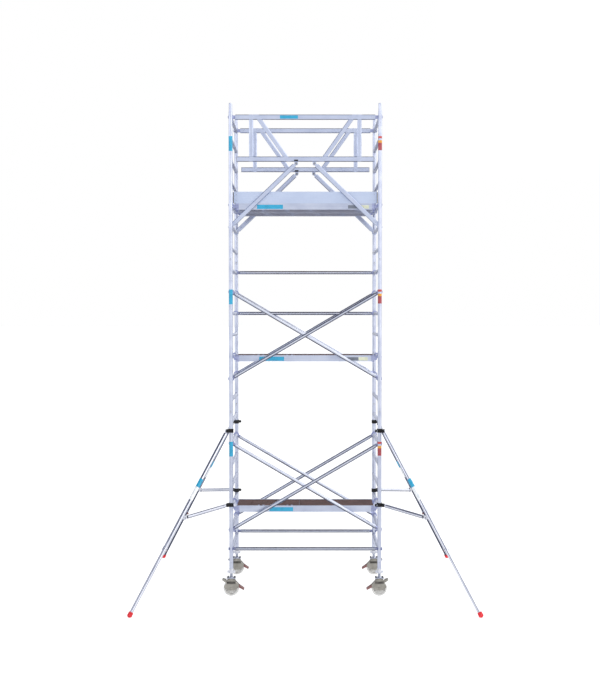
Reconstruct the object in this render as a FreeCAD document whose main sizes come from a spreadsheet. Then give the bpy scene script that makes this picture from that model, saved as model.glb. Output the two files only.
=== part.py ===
import FreeCAD, Part
import math
import os
import Sketcher

# A mobile aluminium tower scaffold: three storeys of ladder frames on braked casters, four
# platforms, diagonal braces, advance guardrails, toe boards and four telescopic stabilisers.
# Millimetres. +Z is up and +X runs along the platforms. The origin is on the floor, at the
# centre of the tower's base.

os.makedirs("parts", exist_ok=True)
doc = FreeCAD.newDocument("MobileTower")
sheet = doc.addObject("Spreadsheet::Sheet", "Sizes")

sizes = {
    # tower layout
    "PostSpanX": 1915,
    "PostSpanY": 1300,
    "PostFoot": 355,
    "FrameHeight": 1960,
    "FrameTail": 215,
    "RungPitch": 280,
    "RungCount": 7,
    # tubes
    "PostRadius": 25.4,
    "PostWall": 2.6,
    "RungRadius": 22,
    "RungWall": 2,
    "BraceRadius": 22.5,
    "BraceWall": 2,
    "SpigotRadius": 22.5,
    "SpigotWall": 3,
    "SpigotStand": 107,
    "SpigotDepth": 110,
    "SpigotTaper": 10,
    # pins through each frame joint
    "PinRadius": 5,
    "PinHoleRadius": 5.2,
    "PinHeight": 80,
    "PinShank": 57,
    "PinFront": 27,
    "PinHeadRadius": 9,
    "PinHeadThick": 5,
    "StubRadius": 7,
    "StubLength": 16,
    "StubHeight": 110,
    # hooks that sit over the rungs
    "HookBore": 22.5,
    "PostHookBore": 25.9,
    "HookRadius": 38,
    "HookWidth": 30,
    "HookDrop": 26,
    "HookNeck": 30,
    "HookPlugRadius": 20.3,
    "HookPlugLength": 80,
    "PlateHookRadius": 36,
    "PlateHookWidth": 20,
    "PlateHookLength": 90,
    "DeckHookHeight": 50,
    "DeckHookDrop": 18,
    "RailHookHeight": 44,
    "BraceGap": 60,
    "ButtonRadius": 6.5,
    "ButtonHoleRadius": 6.9,
    "ButtonReach": 48,
    "ButtonLength": 11,
    "ButtonProud": 5,
    "ButtonHoleDepth": 11,
    # braces
    "OuterBraceY": 600,
    "InnerBraceY": 555,
    "GuardBraceY": 508,
    "BraceRise": 4,
    "LowBraceZ": 610,
    # platforms
    "DeckWidth": 580,
    "DeckBeamLength": 1795,
    "BeamWidth": 30,
    "BeamTop": 20,
    "BeamDrop": 60,
    "BeamWall": 3,
    "TransomWidth": 30,
    "TransomTop": 5,
    "TransomHeight": 25,
    "TransomWall": 2.5,
    "TransomEndX": 875,
    "BoardTop": 17,
    "BoardGap": 1,
    "BoardEndX": 890,
    "HatchStartX": -700,
    "HatchEndX": -80,
    "HatchGap": 2,
    "HatchLift": 0.4,
    "SingleDeckY": -240,
    "TopDeckY": 295,
    "FingerHoleRadius": 17,
    "FingerHoleInset": 60,
    # hatch hinges
    "HingeInset": 5,
    "HingeHeight": 23,
    "KnuckleRadius": 5,
    "HingePinRadius": 3,
    "HingeBoreRadius": 3.1,
    "KnuckleLength": 30,
    "FixedKnuckle": 24,
    "KnuckleGap": 0.6,
    "LeafThick": 2,
    "LeafDepth": 34,
    # toe boards
    "ToeHeight": 150,
    "ToeThick": 25,
    "ToeWall": 2,
    "ToeLength": 1842,
    "ToeEndX": 905,
    # guardrail frames
    "RailY": 607,
    "RailHeight": 66,
    "RailDepth": 30,
    "RailWall": 2.5,
    "RailRound": 11,
    "LowRailZ": 5634,
    "LowRailHalf": 880,
    "StrutHeight": 54,
    "StrutDepth": 26,
    "RailPostX": 695,
    "VeeTopX": 610,
    "VeeLowX": 230,
    "LegPivotX": 117,
    "LegPivotZ": 5578,
    "LegHeight": 58,
    "LegEyeRadius": 20,
    "LegEyeWidth": 20,
    "LegBarStart": 36,
    "LugThick": 4,
    "LugGap": 0.5,
    "LugRadius": 23,
    "LegBoreRadius": 5.1,
    # casters
    "WheelRadius": 100,
    "WheelWidth": 50,
    "TreadThick": 22,
    "HubRadius": 28,
    "HubWidth": 56,
    "WebThick": 14,
    "AxleRadius": 10,
    "AxleBoreRadius": 10.1,
    "AxleNutRadius": 15,
    "AxleNutThick": 7,
    "ForkInside": 30,
    "ForkThick": 4,
    "ForkTop": 210,
    "BridgeHalf": 54,
    "BridgeThick": 6,
    "RaceRadius": 44,
    "RaceTop": 230.5,
    "PlateUnder": 231,
    "PlateThick": 8,
    "PlateHalf": 55,
    "KingpinRadius": 10,
    "KingpinBoreRadius": 10.3,
    "SpindleRadius": 18,
    "SpindleWall": 5,
    "SpindleLength": 520,
    "NutBottom": 292,
    "NutHeight": 62.6,
    "NutRadius": 31,
    "NutBore": 18.5,
    "WingReach": 52,
    "WingHeight": 34,
    "WingThick": 12,
    "WingLift": 4,
    # wheel brake rocker
    "RockerInside": 36,
    "RockerThick": 5,
    "RockerPivotZ": 176,
    "RockerHalf": 54,
    "RockerBand": 28,
    "RockerPinRadius": 5,
    "RockerPinLength": 13,
    "RockerBoreRadius": 5.1,
    # stabilisers
    "ClampUpperZ": 2142,
    "ClampLowerZ": 1182,
    "ClampBore": 25.7,
    "ClampRadius": 33,
    "ClampHeight": 50,
    "ClampKnuckleRadius": 9,
    "ClampPinX": 70,
    "EarLength": 78,
    "EarThick": 8,
    "EarGap": 3,
    "EarHeight": 34,
    "EarBoltInset": 18,
    "CheekThick": 6,
    "CheekHeight": 44,
    "CheekEnd": 88,
    "TongueThick": 12,
    "TongueGap": 0.5,
    "TongueHeight": 36,
    "TongueLength": 80,
    "TongueEyeRadius": 20,
    "ClampBoltRadius": 6,
    "BoltHeadRadius": 11,
    "BoltHeadThick": 8,
    "FootReach": 1632,
    "FootHeight": 28,
    "FootRadius": 31,
    "FootSleeveRadius": 27,
    "FootSleeveLength": 45,
    "FootSleeveOverlap": 12,
    "OuterLegRadius": 25.4,
    "OuterLegWall": 3,
    "OuterLegEnd": 1750,
    "InnerLegRadius": 22.1,
    "InnerLegWall": 2.5,
    "InnerLegStart": 1350,
    "LegTubeStart": 45,
    "CollarRadius": 30,
    "CollarLength": 50,
    "StrutFixAt": 1255,
    "StrutFixDrop": 48,
    "StrutCheekSize": 50,
    "StrutCheekDrop": 43,
    "StrutRadius": 22.5,
    "StrutWall": 2.5,
}

for row, (alias, value) in enumerate(sizes.items(), start=1):
    sheet.set(f"A{row}", alias)
    sheet.set(f"B{row}", str(value))
    sheet.setAlias(f"B{row}", alias)
doc.recompute()

xAxis = FreeCAD.Vector(1, 0, 0)
yAxis = FreeCAD.Vector(0, 1, 0)
zAxis = FreeCAD.Vector(0, 0, 1)
origin = FreeCAD.Vector(0, 0, 0)
vec = FreeCAD.Vector
subParts = []


def size(formula):
    return float(sheet.evalExpression(formula))


postX = size("Sizes.PostSpanX") / 2
postY = size("Sizes.PostSpanY") / 2
firstRung = size("Sizes.PostFoot + Sizes.FrameTail")
frameFoot = [size("Sizes.PostFoot") + storey * size("Sizes.FrameHeight") for storey in range(3)]
corners = {"front_left": (-1, -1), "front_right": (1, -1), "rear_left": (-1, 1), "rear_right": (1, 1)}


def rungZ(number):
    return firstRung + number * size("Sizes.RungPitch")


# ---------------------------------------------------------------- building blocks

def make(kind, name, **formulas):
    piece = doc.addObject(kind, name)
    for prop, formula in formulas.items():
        piece.setExpression(prop, str(formula))
    return piece


def place(piece, base=origin, turn=0, axis=zAxis):
    piece.Placement = FreeCAD.Placement(base, FreeCAD.Rotation(axis, turn))
    return piece


def rod(name, radius, length, start, direction=zAxis):
    piece = make("Part::Cylinder", name, Radius=radius, Height=length)
    piece.Placement = FreeCAD.Placement(start, FreeCAD.Rotation(zAxis, direction))
    return piece


def block(name, length, width, height, centre):
    piece = make("Part::Box", name, Length=length, Width=width, Height=height)
    half = vec(size(length), size(width), size(height)) * 0.5
    return place(piece, centre - half)


def boxTube(name, length, width, height, centre, wall, axis="x"):
    """A rectangular tube, open at both ends of the given axis."""
    inner = {letter: text if letter == axis else f"{text} - 2 * {wall}"
             for letter, text in zip("xyz", (length, width, height))}
    outside = block(name + "Outside", length, width, height, centre)
    inside = block(name + "Inside", inner["x"], inner["y"], inner["z"], centre)
    return cut(name, outside, inside)


def fuse(name, pieces):
    joined = doc.addObject("Part::MultiFuse", name)
    joined.Shapes = pieces
    return joined


def cut(name, base, *tools):
    result = doc.addObject("Part::Cut", name)
    result.Base = base
    result.Tool = tools[0] if len(tools) == 1 else fuse(name + "Tools", list(tools))
    return result


def tube(name, radius, wall, length, start, direction=zAxis):
    outer = rod(name + "Outside", radius, length, start, direction)
    inner = rod(name + "Inside", f"{radius} - {wall}", length, start, direction)
    return cut(name, outer, inner)


def gather(name, pieces):
    bundle = doc.addObject("Part::Compound", name)
    bundle.Links = pieces
    return bundle


def copyOf(master, base=origin, turn=0, axis=zAxis):
    link = doc.addObject("App::Link", master.Name + "Copy")
    link.LinkedObject = master
    link.LinkTransform = True
    return place(link, base, turn, axis)


def subPart(label, pieces, base=origin, turn=0):
    node = gather("Node", pieces)
    node.Label = label
    place(node, base, turn)
    subParts.append(node)
    return node


def outlineSketch(body, name, points):
    sketch = body.newObject("Sketcher::SketchObject", name)
    plane = [feature for feature in body.Origin.OriginFeatures if feature.Role == "XZ_Plane"][0]
    sketch.AttachmentSupport = [(plane, "")]
    sketch.MapMode = "FlatFace"
    places = [vec(size(across), size(up), 0) for across, up in points]
    for first, second in zip(places, places[1:] + places[:1]):
        sketch.addGeometry(Part.LineSegment(first, second))
    count = len(points)
    for index in range(count):
        sketch.addConstraint(Sketcher.Constraint("Coincident", index, 2, (index + 1) % count, 1))
    for index, (across, up) in enumerate(points):
        for kind, formula, zeroAxis in (("DistanceX", across, -2), ("DistanceY", up, -1)):
            if abs(size(formula)) < 1e-9:
                sketch.addConstraint(Sketcher.Constraint("PointOnObject", index, 1, zeroAxis))
            else:
                added = sketch.addConstraint(Sketcher.Constraint(kind, -1, 1, index, 1, size(formula)))
                sketch.setExpression(f"Constraints[{added}]", formula)
    return sketch


def plateBody(name, points, thickness):
    """A flat plate: its outline in the XZ plane, padded evenly to both sides."""
    body = doc.addObject("PartDesign::Body", name)
    sketch = outlineSketch(body, name + "Outline", points)
    pad = body.newObject("PartDesign::Pad", name + "Pad")
    pad.Profile = sketch
    pad.setExpression("Length", thickness)
    pad.Midplane = True
    return body


def turnedBody(name, points):
    """A turned piece: half its section in the XZ plane, revolved about Z."""
    body = doc.addObject("PartDesign::Body", name)
    sketch = outlineSketch(body, name + "Section", points)
    turned = body.newObject("PartDesign::Revolution", name + "Turned")
    turned.Profile = sketch
    turned.ReferenceAxis = (sketch, ["V_Axis"])
    turned.Angle = 360
    return body


def roundedBar(name, length, depth, height, wall, corner):
    """A flat tube along X from the origin, with its four long edges rounded."""
    skins = []
    for skin, inset in (("Outside", "0"), ("Inside", wall)):
        bar = make("Part::Box", name + skin + "Box", Length=length,
                   Width=f"{depth} - 2 * {inset}", Height=f"{height} - 2 * {inset}")
        place(bar, vec(0, size(inset) - size(depth) / 2, size(inset) - size(height) / 2))
        doc.recompute()
        radius = size(f"{corner} - {inset}")
        longEdges = [(number, radius, radius) for number, edge in enumerate(bar.Shape.Edges, start=1)
                     if abs(edge.tangentAt(edge.FirstParameter).x) > 0.99]
        rounded = doc.addObject("Part::Fillet", name + skin)
        rounded.Base = bar
        rounded.Edges = longEdges
        skins.append(rounded)
    return cut(name, *skins)


# ---------------------------------------------------------------- ladder frames

def ladderFrame():
    pinHole = "Sizes.PinHoleRadius"
    posts = []
    cutters = []
    for side in (-1, 1):
        foot = vec(0, side * postY, 0)
        bore = rod("PostPinHole", pinHole, "4 * Sizes.PostRadius",
                   foot + vec(0, -2 * size("Sizes.PostRadius"), size("Sizes.PinHeight")), yAxis)
        shell = tube("PostTube", "Sizes.PostRadius", "Sizes.PostWall", "Sizes.FrameHeight", foot)
        posts.append(cut("Post", shell, bore))
        cutters.append(rod("PostCope", "Sizes.PostRadius", "Sizes.FrameHeight", foot))
    rungTube = tube("RungTube", "Sizes.RungRadius", "Sizes.RungWall", "Sizes.PostSpanY",
                    vec(0, -postY, size("Sizes.FrameTail")), yAxis)
    rung = cut("Rung", rungTube, *cutters)
    rungs = [copyOf(rung, zAxis * size("Sizes.RungPitch") * number)
             for number in range(int(size("Sizes.RungCount")))]
    return gather("LadderFrame", posts + rungs + [copyOf(spigot(), vec(0, side * postY, 0))
                                                  for side in (-1, 1)])


def spigot():
    top = size("Sizes.FrameHeight")
    start = vec(0, 0, top - size("Sizes.SpigotDepth"))
    straight = rod("SpigotRod", "Sizes.SpigotRadius",
                   "Sizes.SpigotDepth + Sizes.SpigotStand - Sizes.SpigotTaper", start)
    nose = make("Part::Cone", "SpigotNose", Radius1="Sizes.SpigotRadius",
                Radius2="Sizes.SpigotRadius - 2", Height="Sizes.SpigotTaper")
    place(nose, vec(0, 0, top + size("Sizes.SpigotStand - Sizes.SpigotTaper")))
    bore = rod("SpigotBore", "Sizes.SpigotRadius - Sizes.SpigotWall",
               "Sizes.SpigotDepth + Sizes.SpigotStand", start)
    pinHole = rod("SpigotPinHole", "Sizes.PinHoleRadius", "4 * Sizes.PostRadius",
                  vec(0, -2 * size("Sizes.PostRadius"), top + size("Sizes.PinHeight")), yAxis)
    return cut("Spigot", fuse("SpigotBody", [straight, nose]), bore, pinHole)


def casterStub():
    """The thumb stub on the outside of a base post, which locks the caster's spindle."""
    stub = rod("StubRod", "Sizes.StubRadius", "Sizes.PostRadius + Sizes.StubLength",
               vec(0, 0, size("Sizes.StubHeight")), xAxis)
    return cut("Stub", stub, rod("StubCope", "Sizes.PostRadius", "2 * Sizes.StubHeight", origin))


frame = ladderFrame()
stub = casterStub()
for side, sign in (("left", -1), ("right", 1)):
    for storey, label in enumerate(("base", "middle", "top")):
        pieces = [copyOf(frame)]
        if storey == 0:
            turn = 0 if sign > 0 else 180
            pieces += [copyOf(stub, vec(0, end * postY, 0), turn) for end in (-1, 1)]
        subPart(f"{side}_{label}_frame", pieces, vec(sign * postX, 0, frameFoot[storey]))

pinFront = size("Sizes.PinFront")
pinBody = fuse("LockPin", [
    rod("LockPinShank", "Sizes.PinRadius", "Sizes.PinShank", yAxis * -pinFront, yAxis),
    rod("LockPinHead", "Sizes.PinHeadRadius", "Sizes.PinHeadThick",
        yAxis * (-pinFront - size("Sizes.PinHeadThick")), yAxis)])
subPart("frame_lock_pins", [
    copyOf(pinBody, vec(sx * postX, sy * postY, frameFoot[storey] + size("Sizes.PinHeight")))
    for sx, sy in corners.values() for storey in (1, 2)])


# ---------------------------------------------------------------- hooks

def hookRing(name, radius, width, hole="Sizes.HookBore"):
    """A hook of rectangular section about the Y axis, open downward."""
    halfWidth = vec(0, -size(width) / 2, 0)
    disc = rod(name + "Disc", radius, width, halfWidth, yAxis)
    bore = rod(name + "Bore", hole, width, halfWidth, yAxis)
    mouth = block(name + "Mouth", f"2 * {hole}", width, f"2 * {radius}",
                  vec(0, 0, -size(radius)))
    trim = block(name + "Trim", f"2 * {radius}", width, radius,
                 vec(0, 0, -size("Sizes.HookDrop") - size(radius) / 2))
    return cut(name, disc, bore, mouth, trim)


def braceHook(name, tilt, hole="Sizes.HookBore", roll=0):
    """A brace end: the hook, a round plug that enters the tube, and the latch's button hole."""
    along = vec(math.cos(tilt), 0, math.sin(tilt))
    ring = hookRing(name + "Ring", "Sizes.HookRadius", "Sizes.HookWidth", hole)
    place(ring, origin, roll, xAxis)
    plug = rod(name + "Plug", "Sizes.HookPlugRadius", "Sizes.HookPlugLength",
               along * size("Sizes.HookNeck"), along)
    holeStart = along * size("Sizes.ButtonReach") - yAxis * size("Sizes.HookPlugRadius + 5")
    hole = rod(name + "ButtonHole", "Sizes.ButtonHoleRadius", "Sizes.ButtonHoleDepth + 5",
               holeStart, yAxis)
    return cut(name, fuse(name + "Solid", [ring, plug]), hole)


def plateHook(name, plateHeight, plateCentre):
    """A flat hook whose shank is a plate that enters a rectangular tube."""
    ring = hookRing(name + "Ring", "Sizes.PlateHookRadius", "Sizes.PlateHookWidth")
    shank = block(name + "Shank", "Sizes.PlateHookLength", "Sizes.PlateHookWidth", plateHeight,
                  vec(size("Sizes.HookNeck") + size("Sizes.PlateHookLength") / 2, 0, plateCentre))
    return fuse(name, [ring, shank])


braceTilt = math.atan2(size("Sizes.BraceRise * Sizes.RungPitch"), size("Sizes.PostSpanX"))
button = rod("Button", "Sizes.ButtonRadius", "Sizes.ButtonLength",
             vec(0, -size("Sizes.HookPlugRadius + Sizes.ButtonProud"), 0), yAxis)
nearHooks = {
    "level": braceHook("LevelHook", 0),
    "rising": braceHook("RisingHook", braceTilt),
    "falling": braceHook("FallingHook", -braceTilt),
    "post": braceHook("PostHook", 0, "Sizes.PostHookBore", -90),
}
deckHook = plateHook("DeckHook", "Sizes.DeckHookHeight", -size("Sizes.DeckHookDrop"))
railHook = plateHook("RailHook", "Sizes.RailHookHeight", 0)
hooks = []
buttons = []
horizontals = []
diagonals = []


def facingLeft(hook):
    """The same hook with its plug towards -X and its button still on the -Y side."""
    mirrored = doc.addObject("Part::Mirroring", "FarHook")
    mirrored.Source = hook
    mirrored.Normal = xAxis
    return mirrored


# seen from its own end, a brace that rises from the left falls from the right
farHooks = {style: facingLeft(nearHooks[near]) for style, near in
            (("level", "level"), ("rising", "falling"), ("falling", "rising"), ("post", "post"))}


def brace(left, right, style, store):
    """One brace between two points: its tube, a hook at each end and their latch buttons."""
    along = (right - left).normalize()
    gap = size("Sizes.BraceGap")
    length = (right - left).Length - 2 * gap
    store.append(tube("BraceTube", "Sizes.BraceRadius", "Sizes.BraceWall", f"{length}",
                      left + along * gap, along))
    hooks.append(copyOf(nearHooks[style], left))
    hooks.append(copyOf(farHooks[style], right))
    for end, sign in ((left, 1), (right, -1)):
        buttons.append(copyOf(button, end + along * sign * size("Sizes.ButtonReach")))


def acrossTower(y, leftZ, rightZ):
    return vec(-postX, y, leftZ), vec(postX, y, rightZ)


outerY = size("Sizes.OuterBraceY")
innerY = size("Sizes.InnerBraceY")
lowZ = size("Sizes.LowBraceZ")
for face in (-1, 1):
    # the lowest pair clasps the posts just above the first rung
    brace(*acrossTower(face * postY, lowZ, lowZ), "post", horizontals)
    for low in (1, 8):
        bottom = rungZ(low)
        top = rungZ(low + size("Sizes.BraceRise"))
        brace(*acrossTower(face * outerY, bottom, top), "rising", diagonals)
        brace(*acrossTower(face * innerY, top, bottom), "falling", diagonals)
for rung in (11, 13):
    level = rungZ(rung)
    brace(*acrossTower(size("Sizes.GuardBraceY"), level, level), "level", horizontals)


# ---------------------------------------------------------------- platforms

beamY = size("(Sizes.DeckWidth - Sizes.BeamWidth) / 2")
beamHeight = "(Sizes.BeamTop + Sizes.BeamDrop)"
clearWidth = "(Sizes.DeckWidth - 2 * Sizes.BeamWidth)"
hatchX = (size("Sizes.HatchStartX"), size("Sizes.HatchEndX"))
hingeY = -size(clearWidth) / 2 + size("Sizes.HingeInset")
hingeZ = size("Sizes.HingeHeight")
hingeX = [hatchX[0] + (hatchX[1] - hatchX[0]) * share for share in (0.2, 0.8)]


def platformFrame(name, transomX, hinged):
    """Two box beams and the transoms between them, centred on the rungs' level."""
    pieces = []
    middle = size("(Sizes.BeamTop - Sizes.BeamDrop) / 2")
    for side in (-1, 1):
        pieces.append(boxTube(name + "Beam", "Sizes.DeckBeamLength", "Sizes.BeamWidth", beamHeight,
                              vec(0, side * beamY, middle), "Sizes.BeamWall"))
    for x in transomX:
        centre = vec(x, 0, size("Sizes.TransomTop - Sizes.TransomHeight / 2"))
        pieces.append(boxTube(name + "Transom", "Sizes.TransomWidth", clearWidth,
                              "Sizes.TransomHeight", centre, "Sizes.TransomWall", "y"))
    if hinged:
        pieces += [fixedHinge(name + "Hinge", x) for x in hingeX]
    return gather(name, pieces)


def fixedHinge(name, x):
    """The pin, its two end knuckles and the leaf on top of the beam."""
    half = size("Sizes.KnuckleLength / 2 + Sizes.KnuckleGap")
    pin = rod(name + "Pin", "Sizes.HingePinRadius", "3 * Sizes.KnuckleLength",
              vec(x - 1.5 * size("Sizes.KnuckleLength"), hingeY, hingeZ), xAxis)
    solids = [pin]
    for start in (x - half - size("Sizes.FixedKnuckle"), x + half):
        solids.append(rod(name + "Knuckle", "Sizes.KnuckleRadius", "Sizes.FixedKnuckle",
                          vec(start, hingeY, hingeZ), xAxis))
        solids.append(block(name + "Leaf", "Sizes.FixedKnuckle", "Sizes.LeafDepth",
                            "Sizes.LeafThick",
                            vec(start + size("Sizes.FixedKnuckle / 2"),
                                hingeY - size("Sizes.LeafDepth / 2"),
                                size("Sizes.BeamTop + Sizes.LeafThick / 2"))))
    return fuse(name, solids)


def hatchPanel():
    """The trapdoor: a ply panel with a finger hole, and the moving halves of its two hinges."""
    gap = size("Sizes.HatchGap")
    length = hatchX[1] - hatchX[0] - 2 * gap
    low = size("Sizes.TransomTop + Sizes.HatchLift")
    thick = size("Sizes.BoardTop") - low
    middleX = sum(hatchX) / 2
    panel = block("HatchPly", f"{length}", f"{clearWidth} - 2 * Sizes.HatchGap - 1", f"{thick}",
                  vec(middleX, 0, low + thick / 2))
    finger = rod("FingerHole", "Sizes.FingerHoleRadius", f"{thick}",
                 vec(middleX, size(clearWidth) / 2 - size("Sizes.FingerHoleInset"), low))
    pieces = [cut("HatchBoard", panel, finger)]
    for x in hingeX:
        start = vec(x - size("Sizes.KnuckleLength / 2"), hingeY, hingeZ)
        barrel = rod("HatchBarrel", "Sizes.KnuckleRadius", "Sizes.KnuckleLength", start, xAxis)
        leaf = block("HatchLeaf", "Sizes.KnuckleLength", "Sizes.LeafDepth", "Sizes.LeafThick",
                     vec(x, hingeY + size("Sizes.LeafDepth / 2"),
                         size("Sizes.BoardTop + Sizes.LeafThick / 2")))
        bore = rod("HatchBore", "Sizes.HingeBoreRadius", "Sizes.KnuckleLength", start, xAxis)
        pieces.append(cut("HatchHinge", fuse("HatchHingeBody", [barrel, leaf]), bore))
    return gather("HatchPanel", pieces)


def deckBoard(name, start, end):
    middle = size("(Sizes.BoardTop + Sizes.TransomTop) / 2")
    return block(name, f"{end - start}", f"{clearWidth} - 2 * Sizes.BoardGap",
                 "Sizes.BoardTop - Sizes.TransomTop", vec((start + end) / 2, 0, middle))


boardEnd = size("Sizes.BoardEndX")
transomEnd = size("Sizes.TransomEndX")
hatchTransoms = (-transomEnd, hatchX[0] - 5, hatchX[1] + 5, 240, 560, transomEnd)
hatchFrame = platformFrame("HatchPlatform", hatchTransoms, True)
plainTransoms = [transomEnd * fifth / 5 for fifth in (-5, -3, -1, 1, 3, 5)]
plainFrame = platformFrame("PlainPlatform", plainTransoms, False)
hatchBoards = gather("HatchBoards", [deckBoard("ShortBoard", -boardEnd, hatchX[0] - 2),
                                     deckBoard("LongBoard", hatchX[1] + 2, boardEnd)])
plainBoard = deckBoard("PlainBoard", -boardEnd, boardEnd)
hatch = hatchPanel()
singleY = size("Sizes.SingleDeckY")
topY = size("Sizes.TopDeckY")
plainDeck = vec(0, topY, rungZ(16))
# the top hatch is turned half round, so that its hinges lie inside the toe board
decks = {"lower": (vec(0, singleY, rungZ(2)), 0), "middle": (vec(0, singleY, rungZ(9)), 0),
         "top": (vec(0, -topY, rungZ(16)), 180)}

subPart("lower_platform_frame", [copyOf(hatchFrame)], *decks["lower"])
subPart("middle_platform_frame", [copyOf(hatchFrame)], *decks["middle"])
subPart("top_platform_frames", [copyOf(hatchFrame, *decks["top"]), copyOf(plainFrame, plainDeck)])
subPart("deck_boards", [copyOf(hatchBoards, *spot) for spot in decks.values()]
        + [copyOf(plainBoard, plainDeck)])
for level, spot in decks.items():
    subPart(f"{level}_hatch", [copyOf(hatch)], *spot)

for base in [spot[0] for spot in decks.values()] + [plainDeck]:
    for sx, turn in ((-1, 0), (1, 180)):
        for side in (-1, 1):
            hooks.append(copyOf(deckHook, base + vec(sx * postX, side * beamY, 0), turn))

toeBase = rungZ(16) + size("Sizes.BeamTop")
toeMiddle = toeBase + size("Sizes.ToeHeight / 2")
toeY = size("Sizes.TopDeckY + (Sizes.DeckWidth - Sizes.ToeThick) / 2")
toeEnd = "(2 * Sizes.TopDeckY + Sizes.DeckWidth - 2 * Sizes.ToeThick - 4)"
toeBoards = [boxTube("LongToeBoard", "Sizes.ToeLength", "Sizes.ToeThick", "Sizes.ToeHeight",
                     vec(0, side * toeY, toeMiddle), "Sizes.ToeWall") for side in (-1, 1)]
toeBoards += [boxTube("EndToeBoard", "Sizes.ToeThick", toeEnd, "Sizes.ToeHeight",
                      vec(side * size("Sizes.ToeEndX"), 0, toeMiddle), "Sizes.ToeWall", "y")
              for side in (-1, 1)]
subPart("toe_boards", toeBoards)


# ---------------------------------------------------------------- guardrails

topRailZ = rungZ(20)
lowRailZ = size("Sizes.LowRailZ")
legPivotX = size("Sizes.LegPivotX")
legPivotZ = size("Sizes.LegPivotZ")


def railBar(name, halfLength, z):
    bar = roundedBar(name, f"2 * {halfLength}", "Sizes.RailDepth", "Sizes.RailHeight",
                     "Sizes.RailWall", "Sizes.RailRound")
    return place(bar, vec(-size(halfLength), 0, z))


def railStrut(name, low, high, copes):
    """A flat strut between the two rails, its ends shaped to them."""
    along = high - low
    bar = roundedBar(name + "Bar", f"{along.Length}", "Sizes.StrutDepth", "Sizes.StrutHeight",
                     "Sizes.RailWall", "Sizes.RailRound")
    place(bar, low, -math.degrees(math.atan2(along.z, along.x)), yAxis)
    return cut(name, bar, *copes)


def guardrailFrame():
    railHalf = "(Sizes.PostSpanX / 2 - Sizes.BraceGap)"
    rails = [railBar("TopRail", railHalf, topRailZ), railBar("LowRail", "Sizes.LowRailHalf", lowRailZ)]
    copes = [block("RailCope", "Sizes.PostSpanX", "Sizes.RailDepth", "Sizes.RailHeight", vec(0, 0, z))
             for z in (topRailZ, lowRailZ)]
    struts = []
    for side in (-1, 1):
        upright = side * size("Sizes.RailPostX")
        struts.append(railStrut("Upright", vec(upright, 0, lowRailZ), vec(upright, 0, topRailZ), copes))
        struts.append(railStrut("Vee", vec(side * size("Sizes.VeeLowX"), 0, lowRailZ),
                                vec(side * size("Sizes.VeeTopX"), 0, topRailZ), copes))
    lugs = []
    railUnder = lowRailZ - size("Sizes.RailHeight / 2")
    for side in (-1, 1):
        pivot = vec(side * legPivotX, 0, legPivotZ)
        for face in (-1, 1):
            y = face * size("Sizes.LegEyeWidth / 2 + Sizes.LugGap + Sizes.LugThick / 2")
            ear = rod("LugEar", "Sizes.LugRadius", "Sizes.LugThick",
                      pivot + vec(0, y - size("Sizes.LugThick / 2"), 0), yAxis)
            rise = railUnder - legPivotZ
            web = block("LugWeb", "2 * Sizes.LugRadius", "Sizes.LugThick", f"{rise}",
                        pivot + vec(0, y, rise / 2))
            lugs.append(cut("LugPlate", fuse("Lug", [ear, web]), legPin(pivot)))
        lugs.append(legPin(pivot))
    return gather("GuardrailFrame", rails + struts + lugs)


def legPin(pivot):
    return rod("LegPin", "Sizes.PinRadius", "Sizes.RailDepth + 8",
               pivot - yAxis * size("Sizes.RailDepth / 2 + 4"), yAxis)


railY = size("Sizes.RailY")
guardrail = guardrailFrame()
subPart("guardrail_frames", [copyOf(guardrail, yAxis * face * railY) for face in (-1, 1)])
for face in (-1, 1):
    for sx, turn in ((-1, 0), (1, 180)):
        hooks.append(copyOf(railHook, vec(sx * postX, face * railY, topRailZ), turn))


def guardrailLeg():
    """A guardrail leg along +X from its pivot, with a hook open to +Z at its far end."""
    reach = math.hypot(postX - legPivotX, rungZ(15) - legPivotZ)
    halfEye = -yAxis * size("Sizes.LegEyeWidth / 2")
    eye = rod("LegEye", "Sizes.LegEyeRadius", "Sizes.LegEyeWidth", halfEye, yAxis)
    neck = block("LegNeck", "2 * Sizes.LegBarStart + 20", "Sizes.LegEyeWidth",
                 "1.5 * Sizes.LegEyeRadius", xAxis * (size("Sizes.LegBarStart") + 10))
    bore = rod("LegBore", "Sizes.LegBoreRadius", "Sizes.LegEyeWidth", halfEye, yAxis)
    head = cut("LegHead", fuse("LegHeadBody", [eye, neck]), bore)
    barLength = reach - size("Sizes.LegBarStart") - size("Sizes.BraceGap") + 10
    bar = roundedBar("LegBar", f"{barLength}", "Sizes.RailDepth", "Sizes.LegHeight",
                     "Sizes.RailWall", "Sizes.RailRound")
    place(bar, xAxis * size("Sizes.LegBarStart"))
    return gather("GuardrailLeg", [head, bar, copyOf(railHook, xAxis * reach, 180, yAxis)])


leg = guardrailLeg()
legTilt = math.degrees(math.atan2(legPivotZ - rungZ(15), postX - legPivotX))
tiltedLeg = gather("TiltedLeg", [copyOf(leg, origin, legTilt, yAxis)])
for name, (sx, sy) in corners.items():
    subPart(f"{name}_guardrail_leg", [copyOf(tiltedLeg)], vec(sx * legPivotX, sy * railY, legPivotZ),
            0 if sx > 0 else 180)

subPart("diagonal_braces", diagonals)
subPart("horizontal_braces", horizontals)
subPart("hook_claws", hooks)
subPart("latch_buttons", buttons)


# ---------------------------------------------------------------- casters
# Each caster is built about its post's axis with its locking pedal towards +X, which is turned
# to face the inside of the tower.

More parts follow.
